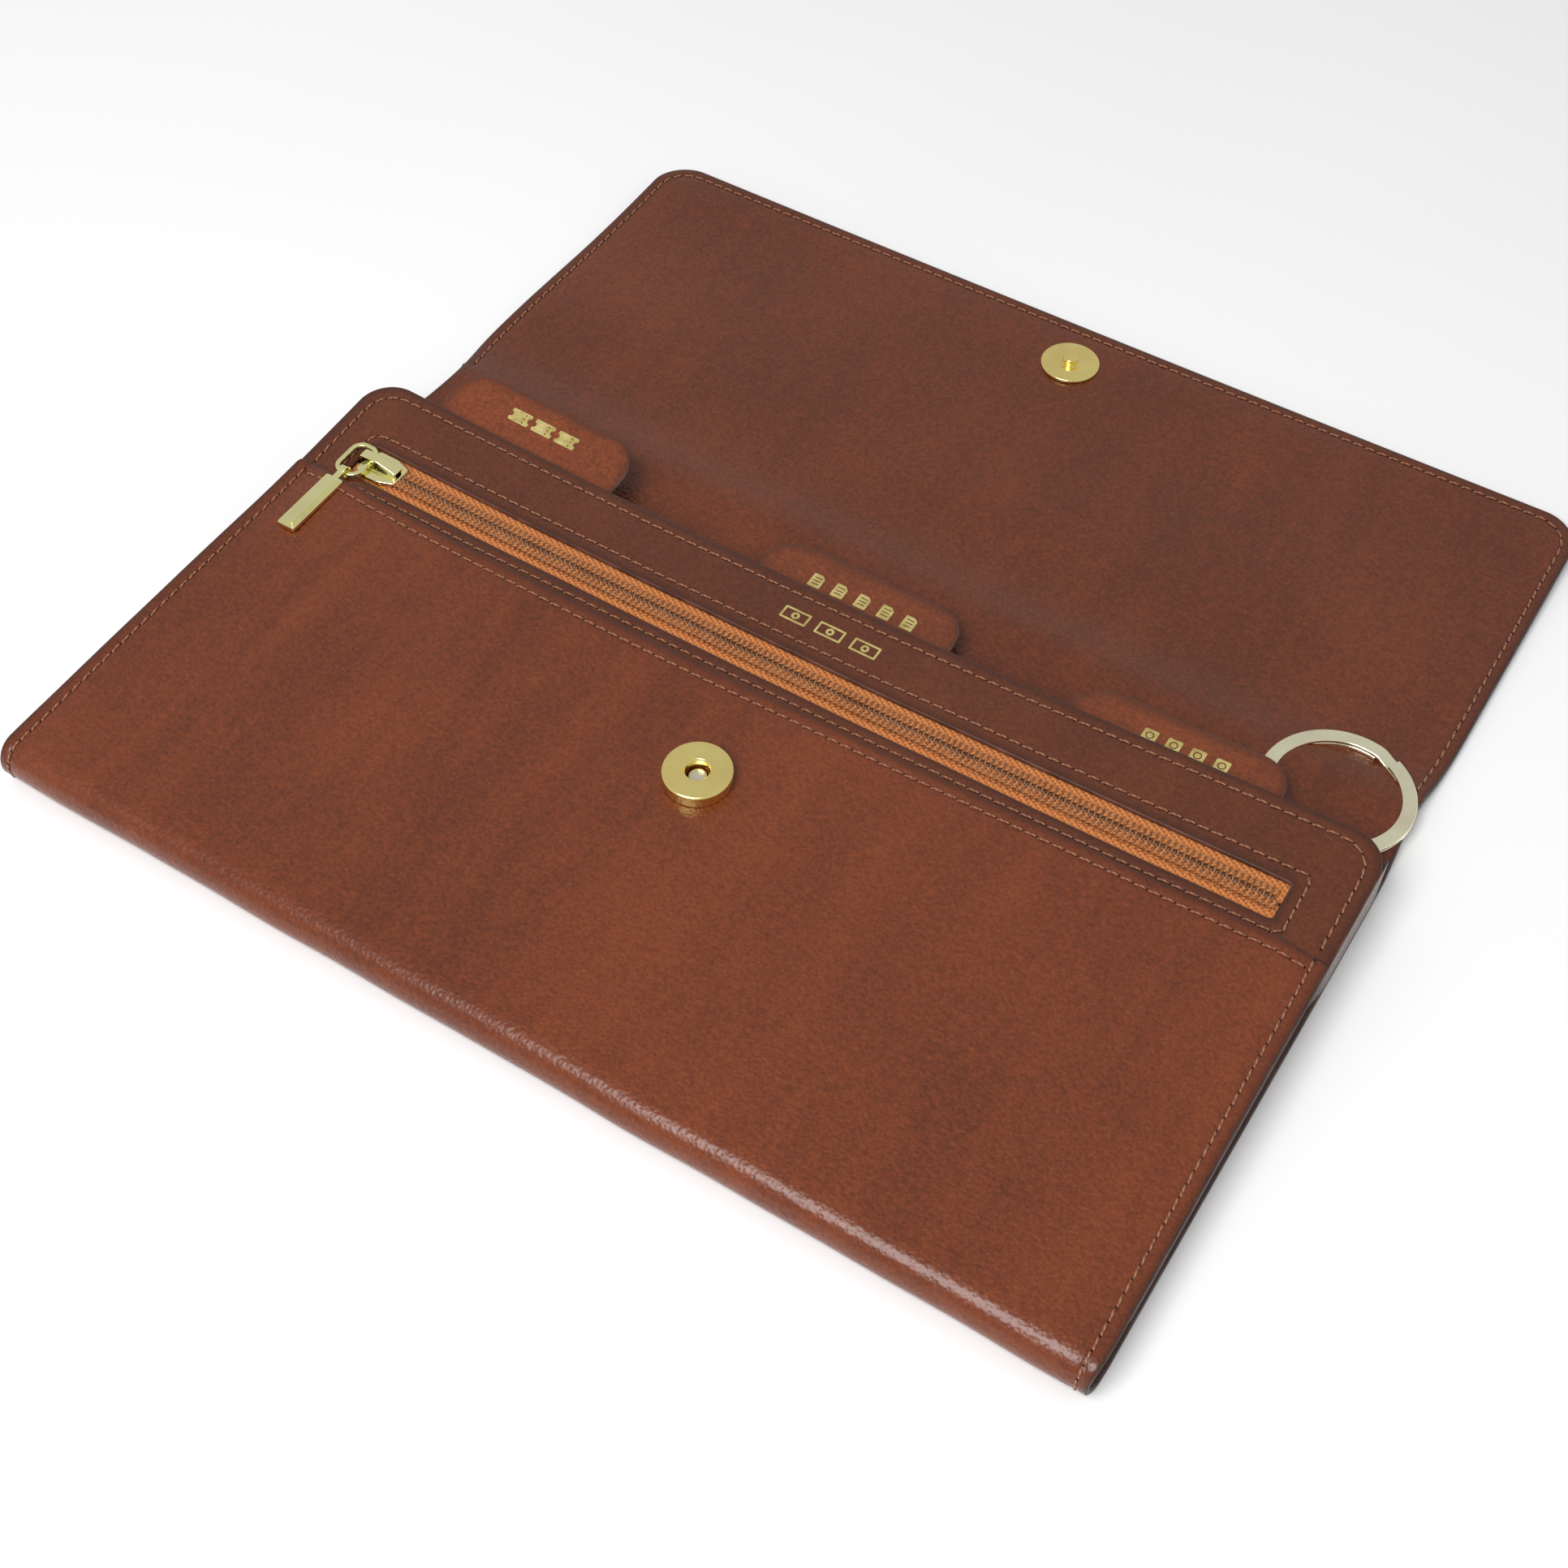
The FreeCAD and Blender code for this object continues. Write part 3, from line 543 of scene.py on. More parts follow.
def stitch_points(seam, surface, raised):
    """Thread between each two needle holes: dips at both ends and lies a little askew."""
    start, end = seam.holes[:-1], seam.holes[1:]
    t = np.linspace(0, 1, STITCH_RINGS)
    along = end - start
    length = np.linalg.norm(along, axis=1)[:, None]
    side = np.column_stack([-along[:, 1], along[:, 0]]) / length
    flat = start[:, None] + along[:, None] * (0.03 + 0.94 * t)[None, :, None]
    flat = flat + side[:, None] * (0.26 * (t - 0.5))[None, :, None]
    u, v = flat[..., 0].ravel(), flat[..., 1].ravel()
    centre, out = surface(u, v), normals(surface, u, v) * seam.face
    step = np.repeat(along, len(t), axis=0) * 0.05
    ahead = surface(u + step[:, 0], v + step[:, 1]) - centre
    ahead /= np.linalg.norm(ahead, axis=1)[:, None]
    across = np.cross(out, ahead)
    hump = np.tile(np.sin(math.pi * t) ** 0.5, len(start))
    height = raised - THREAD_DIP + THREAD_RISE * hump
    swell = 0.55 + 0.45 * hump
    angles = np.linspace(0, 2 * math.pi, STITCH_AROUND, endpoint=False)
    sideways = THREAD_WIDTH / 2 * swell[:, None] * np.cos(angles)
    upwards = THREAD_HEIGHT / 2 * swell[:, None] * np.sin(angles)
    rings = centre[:, None] + out[:, None] * height[:, None, None]
    rings = rings + across[:, None] * sideways[..., None] + out[:, None] * upwards[..., None]
    return rings.reshape(-1, 3), len(start)


def hole_points(seam, surface, raised):
    """Dark needle hole under each end of a stitch: a small cup."""
    u, v = seam.holes[:, 0], seam.holes[:, 1]
    centre, out = surface(u, v), normals(surface, u, v) * seam.face
    angles = np.linspace(0, 2 * math.pi, HOLE_AROUND, endpoint=False)
    rim = np.column_stack([0.25 * np.cos(angles), 0.22 * np.sin(angles)])
    flat = seam.holes[:, None] + rim[None]
    u, v = flat[..., 0].ravel(), flat[..., 1].ravel()
    rims = surface(u, v) + normals(surface, u, v) * seam.face * (raised - HOLE_RIM)
    rims = rims.reshape(len(seam.holes), HOLE_AROUND, 3)
    bottom = (centre + out * (raised - HOLE_BOTTOM))[:, None]
    return np.concatenate([rims, bottom], axis=1).reshape(-1, 3), len(seam.holes)


def stitches(name, rows):
    """All the stitches and needle holes of some seams, as one mesh.
    rows are (seam, surface, raised)."""
    points, faces, slots, first = [], [], [], 0
    one_stitch = tube_faces(STITCH_RINGS, STITCH_AROUND)
    one_hole = [(i, (i + 1) % HOLE_AROUND, HOLE_AROUND) for i in range(HOLE_AROUND)]
    for seam, surface, raised in rows:
        kinds = ((stitch_points, one_stitch, STITCH_RINGS * STITCH_AROUND, 0),
                 (hole_points, one_hole, HOLE_AROUND + 1, 1))
        for build, pattern, size, slot in kinds:
            made, count = build(seam, surface, raised)
            points.append(made)
            faces += [tuple(i + first for i in f) for f in repeat_faces(pattern, size, count)]
            slots += [slot] * (len(pattern) * count)
            first += len(made)
    return make(name, np.concatenate(points), faces, (THREAD, HOLE), slots)


# Node materials

class Nodes:
    """Short calls for building a material's node tree."""

    def __init__(self, name):
        self.material = bpy.data.materials.new(name)
        self.material.use_nodes = True
        self.tree = self.material.node_tree
        self.tree.nodes.clear()
        self.shader = self.tree.nodes.new("ShaderNodeBsdfPrincipled")
        output = self.tree.nodes.new("ShaderNodeOutputMaterial")
        self.link(self.shader.outputs[0], output.inputs[0])
        self.place = self.tree.nodes.new("ShaderNodeTexCoord").outputs["Object"]

    def link(self, source, target):
        self.tree.links.new(source, target)

    def add(self, kind, **inputs):
        """A new node with those inputs."""
        node = self.tree.nodes.new("ShaderNode" + kind)
        for name, value in inputs.items():
            self.put(node.inputs[name], value)
        return node

    def put(self, target, value):
        """Set an input socket, or link another node to it."""
        if isinstance(value, bpy.types.NodeSocket):
            self.link(value, target)
        else:
            target.default_value = value

    def set(self, **values):
        """Set the shader's sockets; underscores stand for spaces."""
        for name, value in values.items():
            self.put(self.shader.inputs[name.replace("_", " ")], value)

    def mapped(self, scale=(1, 1, 1), turned=0.0):
        """The place turned about Z and stretched."""
        place, rotation = self.place, (0, 0, turned)
        return self.add("Mapping", Vector=place, Rotation=rotation, Scale=scale).outputs[0]

    def noise(self, scale, detail=2.0, rough=0.5, vector=None, warp=0.0):
        node = self.add("TexNoise", Vector=vector or self.place, Scale=scale, Detail=detail,
                        Roughness=rough, Distortion=warp)
        return node.outputs["Fac"]

    def cells(self, scale, feature="F1"):
        node = self.add("TexVoronoi", Vector=self.place, Scale=scale)
        node.feature = feature
        return node.outputs["Distance"]

    def waves(self, scale, direction, vector=None, warp=0.0):
        node = self.add("TexWave", Vector=vector or self.place, Scale=scale, Distortion=warp)
        node.bands_direction = direction
        return node.outputs["Fac"]

    def math(self, operation, a, b):
        node = self.add("Math")
        node.operation = operation
        self.put(node.inputs[0], a)
        self.put(node.inputs[1], b)
        return node.outputs[0]

    def plus(self, a, b):
        return self.math("ADD", a, b)

    def times(self, a, b):
        return self.math("MULTIPLY", a, b)

    def ramp(self, value, *stops):
        """Colour ramp through (position, colour) stops."""
        node = self.add("ValToRGB", Fac=value)
        elements = node.color_ramp.elements
        while len(elements) < len(stops):
            elements.new(0.5)
        for element, (position, colour) in zip(elements, stops):
            element.position = position
            element.color = (*colour, 1) if hasattr(colour, "__len__") else (colour,) * 3 + (1,)
        return node.outputs[0]

    def mix(self, factor, a, b, blend="MIX"):
        node = self.add("Mix")
        node.data_type = "RGBA"
        node.blend_type = blend
        self.put(node.inputs["Factor"], factor)
        for socket, value in ((node.inputs[6], a), (node.inputs[7], b)):
            self.put(socket, (*value, 1) if isinstance(value, tuple) else value)
        return node.outputs[2]

    def vertex(self, name):
        """The number stored at each vertex under that name."""
        node = self.add("Attribute")
        node.attribute_name = name
        return node.outputs["Fac"]

    def bump(self, height, distance, strength=1.0, under=None):
        node = self.add("Bump", Strength=strength, Distance=distance, Height=height)
        if under is not None:
            self.link(under, node.inputs["Normal"])
        return node.outputs[0]


def leather(name, base, rough=0.40, streaks=1.0):
    """Glazed calf leather: soft clouds and slanting streaks, fine pebble grain, darker
    burnished edges and painted shade in the stitch grooves."""
    n = Nodes(name)
    dark = tuple(c * 0.66 for c in base)
    light = tuple(min(1.0, c * f) for c, f in zip(base, (1.30, 1.42, 1.40)))
    clouds = n.noise(22, 3, 0.55)
    streak = n.noise(1.0, 3, 0.55, n.mapped((75, 13, 40), math.radians(14)), 0.8)
    tone = n.plus(n.times(clouds, 0.50), n.times(streak, 0.50 * streaks))
    for grain, amount in ((n.noise(420, 4, 0.65), 0.34), (n.noise(1050, 2, 0.7), 0.95)):
        tone = n.plus(tone, n.times(n.math("SUBTRACT", grain, 0.5), amount))
    colour = n.ramp(tone, (0.24, dark), (0.50, base), (0.78, light))
    pores = n.ramp(n.cells(1500), (0.0, 0.58), (0.36, 1.0))
    colour = n.mix(0.7, colour, pores, "MULTIPLY")
    # Darker burnished edges plus painted shade in stitch grooves, from the per-vertex numbers.
    burnish_and_groove_shade = n.times(n.vertex("wear_and_groove_shade"), 0.85)
    colour = n.mix(burnish_and_groove_shade, colour, tuple(c * 0.42 for c in base))
    n.set(Base_Color=colour, Specular_IOR_Level=0.06, Coat_Weight=0.75, Coat_Roughness=0.27)
    n.set(Roughness=n.plus(n.times(n.noise(60, 3), 0.14), rough - 0.07))
    pebbles = n.cells(1350, "SMOOTH_F1")
    soft = n.bump(n.noise(70, 2), 0.00020, 0.5)
    grain = n.bump(pebbles, 0.00036, 0.9, n.bump(n.noise(900, 3), 0.00014, 0.6, soft))
    gloss = n.bump(pebbles, 0.00013, 0.6, soft)
    n.set(Normal=grain, Coat_Normal=gloss)
    return n.material


def edge_paint(name, colour=(0.030, 0.020, 0.018)):
    """Painted leather edge: nearly black, half glossy, rubbed lighter in places."""
    n = Nodes(name)
    rubbed = n.noise(160, 4, 0.6)
    light = tuple(min(1.0, c * 2.6 + 0.012) for c in colour)
    n.set(Base_Color=n.ramp(rubbed, (0.40, colour), (0.74, light)))
    n.set(Roughness=n.plus(n.times(rubbed, 0.25), 0.32))
    n.set(Specular_IOR_Level=0.25)
    n.set(Normal=n.bump(n.noise(700, 3), 0.0001, 0.5))
    return n.material


def thread_material():
    """Polyester thread, two plies twisted together."""
    n = Nodes("thread_tan")
    twist = n.waves(420, "DIAGONAL", warp=0.6)
    n.set(Base_Color=n.ramp(twist, (0.0, (0.15, 0.058, 0.030)), (0.7, (0.34, 0.14, 0.066))))
    n.set(Roughness=0.5, Sheen_Weight=0.1)
    n.set(Normal=n.bump(twist, 0.00012, 0.8))
    return n.material


def needle_hole_material():
    """Shadowed inside of a needle hole."""
    n = Nodes("needle_hole")
    colour = n.ramp(n.noise(900), (0.3, (0.012, 0.006, 0.004)), (0.7, (0.03, 0.014, 0.01)))
    n.set(Base_Color=colour, Roughness=0.9, Specular_IOR_Level=0.1)
    return n.material


def tape_material():
    """Zip tape: orange-tan twill, its ribs slanting across the tape."""
    n = Nodes("zip_tape_twill")
    ribs = n.waves(330, "DIAGONAL", n.mapped((1, 1.6, 0)), 0.8)
    picks = n.waves(420, "X", None, 0.5)
    weave = n.times(n.plus(ribs, 0.35), n.plus(picks, 0.45))
    fuzz = n.noise(2600, 2)
    weave = n.plus(weave, n.times(fuzz, 0.35))
    n.set(Base_Color=n.ramp(weave, (0.15, (0.20, 0.052, 0.012)), (0.6, (0.54, 0.165, 0.040)),
                            (1.0, (0.74, 0.28, 0.085))))
    n.set(Roughness=0.62, Sheen_Weight=0.12, Specular_IOR_Level=0.2)
    n.set(Normal=n.bump(weave, 0.00022, 0.9))
    return n.material


def coil_material():
    """Nylon monofilament of the zip's coil, brown and slightly clear."""
    n = Nodes("zip_coil_nylon")
    tint = n.noise(300, 2)
    n.set(Base_Color=n.ramp(tint, (0.3, (0.17, 0.068, 0.030)), (0.7, (0.30, 0.135, 0.062))))
    n.set(Roughness=0.22, Specular_IOR_Level=0.4, Subsurface_Weight=0.1)
    n.shader.inputs["Subsurface Radius"].default_value = (0.0006, 0.0003, 0.0002)
    n.set(Normal=n.bump(n.noise(1500), 0.00003, 0.4))
    return n.material


def yarn_material():
    """Sewing yarn that holds the coil on its tape."""
    n = Nodes("zip_yarn")
    ply = n.noise(2200, 3)
    n.set(Base_Color=n.ramp(ply, (0.3, (0.30, 0.088, 0.022)), (0.65, (0.60, 0.22, 0.062))))
    n.set(Roughness=0.6, Sheen_Weight=0.1, Specular_IOR_Level=0.2)
    n.set(Normal=n.bump(ply, 0.0001, 0.6))
    return n.material


def cloth_material():
    """Plain woven lining of the zip pocket's bag."""
    n = Nodes("lining_cloth")
    warp = n.waves(600, "X", None, 0.4)
    weft = n.waves(600, "Y", None, 0.4)
    weave = n.times(warp, weft)
    n.set(Base_Color=n.ramp(weave, (0.0, (0.05, 0.03, 0.02)), (0.6, (0.14, 0.085, 0.055))))
    n.set(Roughness=0.8, Sheen_Weight=0.3)
    n.set(Normal=n.bump(weave, 0.0001, 0.7))
    return n.material


def metal(name, colour, rough=0.16):
    """Plated metal: small dents, fine scratches and slightly uneven polish."""
    n = Nodes(name)
    uneven = n.noise(130, 3)
    lighter = tuple(min(1.0, c * 1.06) for c in colour)
    darker = tuple(c * 0.90 for c in colour)
    n.set(Base_Color=n.ramp(uneven, (0.3, darker), (0.7, lighter)), Metallic=1.0)
    fine = n.noise(1.0, 3, 0.6, n.mapped((2400, 240, 900), 0.6))
    n.set(Roughness=n.plus(n.times(fine, 0.14), rough - 0.05))
    n.set(Normal=n.bump(fine, 0.000012, 0.5, n.bump(uneven, 0.00006, 0.35)))
    return n.material


def foil_material():
    """Gold foil pressed into leather: broken by the grain beneath."""
    n = Nodes("gold_foil")
    grain = n.cells(1900, "SMOOTH_F1")
    patches = n.noise(500, 3)
    n.set(Base_Color=n.ramp(patches, (0.3, (0.55, 0.43, 0.13)), (0.65, (0.80, 0.68, 0.28))))
    n.set(Metallic=0.75, Roughness=n.plus(n.times(patches, 0.25), 0.26))
    n.set(Normal=n.bump(grain, 0.00012, 0.5))
    return n.material


def floor_material():
    """Pale studio floor."""
    n = Nodes("studio_floor")
    tint = n.noise(3, 2)
    n.set(Base_Color=n.ramp(tint, (0.3, (0.90, 0.90, 0.90)), (0.7, (0.93, 0.93, 0.93))))
    n.set(Roughness=0.7, Specular_IOR_Level=0.2)
    return n.material


LEATHER = leather("leather_brown", (0.150, 0.0305, 0.0071))
LEATHER_PANEL = leather("leather_panel", (0.106, 0.0235, 0.0062))
LEATHER_FLAP = leather("leather_flap", (0.142, 0.0300, 0.0072), 0.46, 0.6)
LEATHER_TAB = leather("leather_tab", (0.206, 0.0450, 0.0110), 0.46, 0.6)
# Darker, greyer copy of the brown leather for the side gussets: painted shade of their recess
# between front and back.
LEATHER_GUSSET_SHADED = leather("leather_gusset_painted_shade", (0.100, 0.030, 0.014), 0.45, 0.6)
PAINT = edge_paint("edge_paint")
PAINT_TAB = edge_paint("edge_paint_tab", (0.060, 0.034, 0.028))
PAINT_WINDOW = edge_paint("edge_paint_window", (0.060, 0.020, 0.011))
THREAD = thread_material()
HOLE = needle_hole_material()
TAPE_TWILL = tape_material()
COIL = coil_material()
YARN = yarn_material()
CLOTH = cloth_material()
GOLD = metal("gold_plate", (1.0, 0.79, 0.29))
PALE_GOLD = metal("pale_gold_plate", (1.0, 0.91, 0.46), 0.15)
RING_GOLD = metal("ring_plate", (1.0, 0.92, 0.66), 0.14)
STEEL = metal("steel", (0.74, 0.71, 0.58), 0.34)
MAGNET = metal("magnet_nickel", (0.40, 0.40, 0.40), 0.4)
FOIL = foil_material()


# Leather pieces

STRIP_END = BACK_START + FOLD_RADIUS - BACK_END


def pocket_wave(x):
    """The pocket's free edge rises at its left end and dips left of the middle."""
    return 1.9 * bump_at(x, -130, 22) - 1.3 * bump_at(x, -28, 50)


def strip_outline():
    """Pocket, fold and back, unrolled."""
    loop = outline(rectangle(-HALF, STRIP_END, HALF, POCKET_EDGE, far=1.5))
    x, v = loop[:, 0], loop[:, 1]
    at_edge = smooth((v - 88) / 8)
    loop[:, 1] = v + at_edge * pocket_wave(x)
    at_fold = bump_at(v, -3, 6) * (np.abs(x) / HALF) ** 40
    loop[:, 0] = x - np.sign(x) * 0.7 * at_fold
    back_y = FOLD_RADIUS + BACK_START - v
    loop[:, 0] += flap_waist(loop[:, 0], back_y) * (v < BACK_START)
    return loop


def strip_seams():
    """Side seams over the fold, and the hem along the pocket's edge."""
    seams = []
    for x in (SEAM_INSET - HALF, HALF - SEAM_INSET):
        seams.append(Seam(outline([(x, -10, 0), (x, POCKET_EDGE - 0.6, 0)], closed=False)))
    x = np.linspace(-HALF + 3.9, HALF - 3.9, 120)
    seams.append(Seam(np.column_stack([x, POCKET_EDGE - SEAM_INSET + pocket_wave(x)])))
    return seams


def panel_outline():
    """Upper front leather, from inside the slip pocket to the mouth."""
    return outline(rectangle(-HALF, 14, HALF, FRONT_HEIGHT, far=8.5))


def window_outline():
    """The zip window, its left end rounded."""
    x0, y0, x1, y1 = WINDOW
    return outline([(x0, y0, 1.5), (x1, y0, 0.8), (x1, y1, 0.8), (x0, y1, 2.5)], step=0.8)


def panel_seams():
    """Seam round the sides and top, and round the window."""
    x, y = HALF - SEAM_INSET, FRONT_HEIGHT - SEAM_INSET
    body = outline([(-x, 98.6, 0), (-x, y, 6.5), (x, y, 6.5), (x, 98.6, 0)], closed=False)
    x0, y0, x1, y1 = WINDOW
    low, high, left, right = y0 - 2.6, y1 + 3.4, x0 - 1.9, x1 + 2.9
    window = outline([(left + 3, low, 0), (right, low, 0), (right, high, 0),
                      (left, high, 3), (left, low + 3, 0)], closed=False)
    return [Seam(body), Seam(window)]


def make_strip():
    """Outer leather from the pocket's edge round the fold to the crease."""
    seams = strip_seams()
    piece = sheet("leather_strip", [strip_outline()], strip_surface, strip_thickness,
                  (LEATHER, PAINT, LEATHER_FLAP), seams, edge=0.35, joined=[STRIP_END])
    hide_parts("pocket_panel", "bottom_fold", "back_panel", "back_lining")
    blend_mouth(piece)
    return seams


def blend_mouth(piece):
    """Bake the piece's place into its mesh, as it lies at rest."""
    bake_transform(piece)


def make_zip_panel():
    """Upper front leather round the zip window."""
    seams = panel_seams()
    piece = sheet("zip_panel_leather", [panel_outline(), window_outline()], zip_panel_surface,
                  ZIP_PANEL_THICKNESS, (LEATHER_PANEL, PAINT_WINDOW, LEATHER), seams, edge=0.35)
    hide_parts("zip_panel")
    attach(piece, "front")
    return seams


def make_dividers():
    """Three dividers with rounded tabs."""
    for divider in DIVIDERS:
        left, right = divider.tab - TAB_WIDTH / 2, divider.tab + TAB_WIDTH / 2
        top = TAB_TOP + (1.0 if divider.curl > 1 else 0.0)
        loop = outline([(-DIVIDER_HALF, DIVIDER_HINGE_Y, 0), (DIVIDER_HALF, DIVIDER_HINGE_Y, 0),
                        (DIVIDER_HALF, DIVIDER_TOP, 6), (right, DIVIDER_TOP, 3),
                        (right, top, 8), (left, top, 8), (left, DIVIDER_TOP, 3),
                        (-DIVIDER_HALF, DIVIDER_TOP, 6)])
        piece = sheet(divider.name + "_leather", [loop], divider.surface, DIVIDER,
                      (LEATHER_TAB, PAINT_TAB, LEATHER_TAB), step=2.2, edge=0.3)
        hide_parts(divider.name)
        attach(piece, divider.name)


def make_flap():
    """The strip between the creases and the flap, lining side up."""
    loop = outline(rectangle(-HALF, BACK_END, HALF, CREASE_END))
    loop[:, 0] += flap_waist(loop[:, 0], loop[:, 1])
    first = sheet("leather_crease", [loop], flap_surface, BACK_THICKNESS,
                  (LEATHER_FLAP, PAINT, LEATHER), edge=0.4, joined=[BACK_END, CREASE_END])
    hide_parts("spine_panel")
    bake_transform(first)

    x, y = HALF - FLAP_SEAM_INSET, OPEN_DEPTH - FLAP_SEAM_INSET
    line = outline([(-x, 154, 0), (-x, y, 7.4), (x, y, 7.4), (x, 154, 0)], closed=False)
    line[:, 0] += flap_waist(line[:, 0], line[:, 1])
    seams = [Seam(line), Seam(line, face=-1, depth=0.24)]
    loop = outline(rectangle(-HALF, CREASE_END, HALF, OPEN_DEPTH, far=9.5))
    loop[:, 0] += flap_waist(loop[:, 0], loop[:, 1])
    second = sheet("leather_flap", [loop], flap_surface, BACK_THICKNESS,
                   (LEATHER_FLAP, PAINT, LEATHER), seams, edge=0.4, joined=[CREASE_END])
    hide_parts("flap_panel", "flap_lining", "spine_lining")
    blend_flap(second)
    return seams


def blend_flap(piece):
    """Bake the piece's place into its mesh, as it lies open."""
    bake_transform(piece)


def flap_underside(x, y):
    """Outer face of the flap, on the table when it lies open."""
    top = flap_surface(x, y)
    return top - BACK_THICKNESS * normals(flap_surface, x, y)


def make_stitches(strip, panel, flap):
    """Thread of every seam."""
    left, right, hem = strip
    body, window = panel
    rows = [(left, strip_surface, 0), (right, strip_surface, 0)]
    piece = stitches("stitches_sides", rows)
    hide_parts("thread_body")
    blend_mouth(piece)
    on_front = (("stitches_top", None, body, zip_panel_surface),
                ("stitches_hem", "thread_pocket", hem, strip_surface),
                ("stitches_window", "thread_window", window, zip_panel_surface))
    for name, node, seam, surface in on_front:
        piece = stitches(name, [(seam, surface, 0)])
        if node:
            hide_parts(node)
        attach(piece, "front")
    inner, outer = flap
    rows = [(inner, flap_surface, 0), (outer, flap_underside, -0.2)]
    piece = stitches("stitches_flap", rows)
    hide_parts("thread_flap")
    blend_flap(piece)


GUSSET_START, GUSSET_END, GUSSET_FLAT = 7.5, 124, 10
GUSSET_INNER = 122.0
GUSSET_THICKNESS = 0.6
BAG_CLOTH = 0.3


def gusset_surface(side):
    """Side strip between back and front, its middle drawn in except beside the key ring."""
    def surface(y, t):
        low = BACK_THICKNESS - 0.1
        top = np.column_stack([np.full_like(y, side * GUSSET_INNER), y,
                               np.full_like(y, ZIP_PANEL_TOP - ZIP_PANEL_THICKNESS)])
        high = place_front(top)[:, 2] + 0.1
        drawn = 1.3 + 1.6 * np.sin(math.pi * np.clip(t / GUSSET_FLAT, 0, 1)) ** 0.8
        drawn = drawn - 0.25 * ripple(y * 3, t, 0.7)
        eased = smooth((y - 86) / 14) if side > 0 else 0.0
        x = side * (HALF - drawn * (1 - eased) - 0.05 * eased)
        return np.column_stack([x, y, low + (high - low) * t / GUSSET_FLAT])
    return surface


def make_gussets():
    """Two side gussets."""
    for side, name in ((-1, "gusset_left"), (1, "gusset_right")):
        loop = outline(rectangle(GUSSET_START, 0, GUSSET_END, GUSSET_FLAT))
        piece = sheet(name + "_leather", [loop], gusset_surface(side), side * GUSSET_THICKNESS,
                      (LEATHER_GUSSET_SHADED, PAINT, LEATHER_GUSSET_SHADED), step=1.6, edge=0.2)
        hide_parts(name)
        blend_mouth(piece)


def make_bag():
    """Two cloth walls of the zip pocket."""
    for name, node, bottom, top in (("bag_front_cloth", "zip_bag_front", 6.7, 92.0),
                                    ("bag_back_cloth", "zip_bag_back", 5.6, 119.0)):
        def surface(x, y, bottom=bottom):
            return place_front(np.column_stack([x, y, np.full_like(x, bottom + BAG_CLOTH)]))
        loop = outline(rectangle(-119, 12, 119, top, near=1, far=1), step=2.0)
        piece = sheet(name, [loop], surface, BAG_CLOTH, (CLOTH, CLOTH, CLOTH),
                      step=4.0, edge=0.1)
        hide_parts(node)
        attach(piece, "front")


# Zip

COIL_PITCH = 1.3


def along_zip():
    """Places of the coil's loops along the window."""
    return np.arange(WINDOW[0] + 1.8, WINDOW[2] - 1.2, COIL_PITCH)


def coil_loop(side):
    """One loop of the coil as a tube: over from the tape to the head and back under."""
    low = TAPE_BOTTOM + TAPE
    path = [(-0.22, 2.0, 0.25), (-0.22, 2.25, 0.7), (-0.2, 1.8, 1.04), (-0.12, 1.0, 1.14),
            (-0.05, 0.2, 1.2), (0.0, -0.28, 0.8), (0.05, 0.1, 0.35), (0.2, 1.0, 0.24)]
    centre = np.array([(x, ZIP_Y + side * y, low + z) for x, y, z in path])
    ahead = np.gradient(centre, axis=0)
    ahead /= np.linalg.norm(ahead, axis=1)[:, None]
    across = np.cross(ahead, (1.0, 0.0, 0.0))
    across /= np.linalg.norm(across, axis=1)[:, None]
    other = np.cross(ahead, across)
    angles = np.linspace(0, 2 * math.pi, 6, endpoint=False)
    radius = np.array([0.24, 0.28, 0.29, 0.27, 0.28, 0.33, 0.27, 0.22])[:, None]
    rings = centre[:, None] + across[:, None] * (radius * np.cos(angles))[..., None]
    rings = rings + other[:, None] * (radius * np.sin(angles) * 1.05)[..., None]
    return rings.reshape(-1, 3), tube_faces(len(path), 6)


def bead(centre, size, slant=0.0):
    """Small grain-shaped loop of yarn."""
    ball = bmesh.new()
    bmesh.ops.create_icosphere(ball, subdivisions=1, radius=1.0)
    points = np.array([tuple(v.co) for v in ball.verts]) * np.array(size)
    faces = [tuple(v.index for v in f.verts) for f in ball.faces]
    ball.free()
    cos, sin = math.cos(slant), math.sin(slant)
    x = points[:, 0] * cos - points[:, 1] * sin
    y = points[:, 0] * sin + points[:, 1] * cos
    return np.column_stack([x, y, points[:, 2]]) + np.array(centre), faces


def repeated(parts, offsets):
    """Copies of some parts at each offset along X, with a material number per face."""
    points, faces, slots, first = [], [], [], 0
    for part_points, part_faces, slot in parts:
        for offset in offsets:
            points.append(part_points + np.array([offset, 0, 0]))
            faces += [tuple(i + first for i in f) for f in part_faces]
            slots += [slot] * len(part_faces)
            first += len(part_points)
    return np.concatenate(points), faces, slots


def make_coil():
    """Both coil rows with the yarn that sews them down."""
    low = TAPE_BOTTOM + TAPE
    for side, name in ((1, "zip_coil_upper"), (-1, "zip_coil_lower")):
        shift = 0.0 if side > 0 else COIL_PITCH / 2
        loop, loop_faces = coil_loop(side)
        bed = bead((0.0, ZIP_Y + side * 1.5, low + 0.80), (0.95, 1.0, 0.34))
        parts = [(loop, loop_faces, 0), (*bed, 1)]
        for y, height, slant in ((0.92, 1.36, 0.6), (1.42, 1.36, -0.6), (1.92, 1.26, 0.6)):
            centre = (COIL_PITCH / 2, ZIP_Y + side * y, low + height)
            parts.append((*bead(centre, (0.68, 0.30, 0.24), side * slant), 1))
        parts.append((*bead((0.2, ZIP_Y + side * 2.45, low + 0.3), (0.56, 0.34, 0.36), 0), 1))
        points, faces, slots = repeated(parts, along_zip() + shift)
        piece = make(name + "_loops", place_front(points), faces, (COIL, YARN), slots, sharp=80)
        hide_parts(name)
        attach(piece, "front")


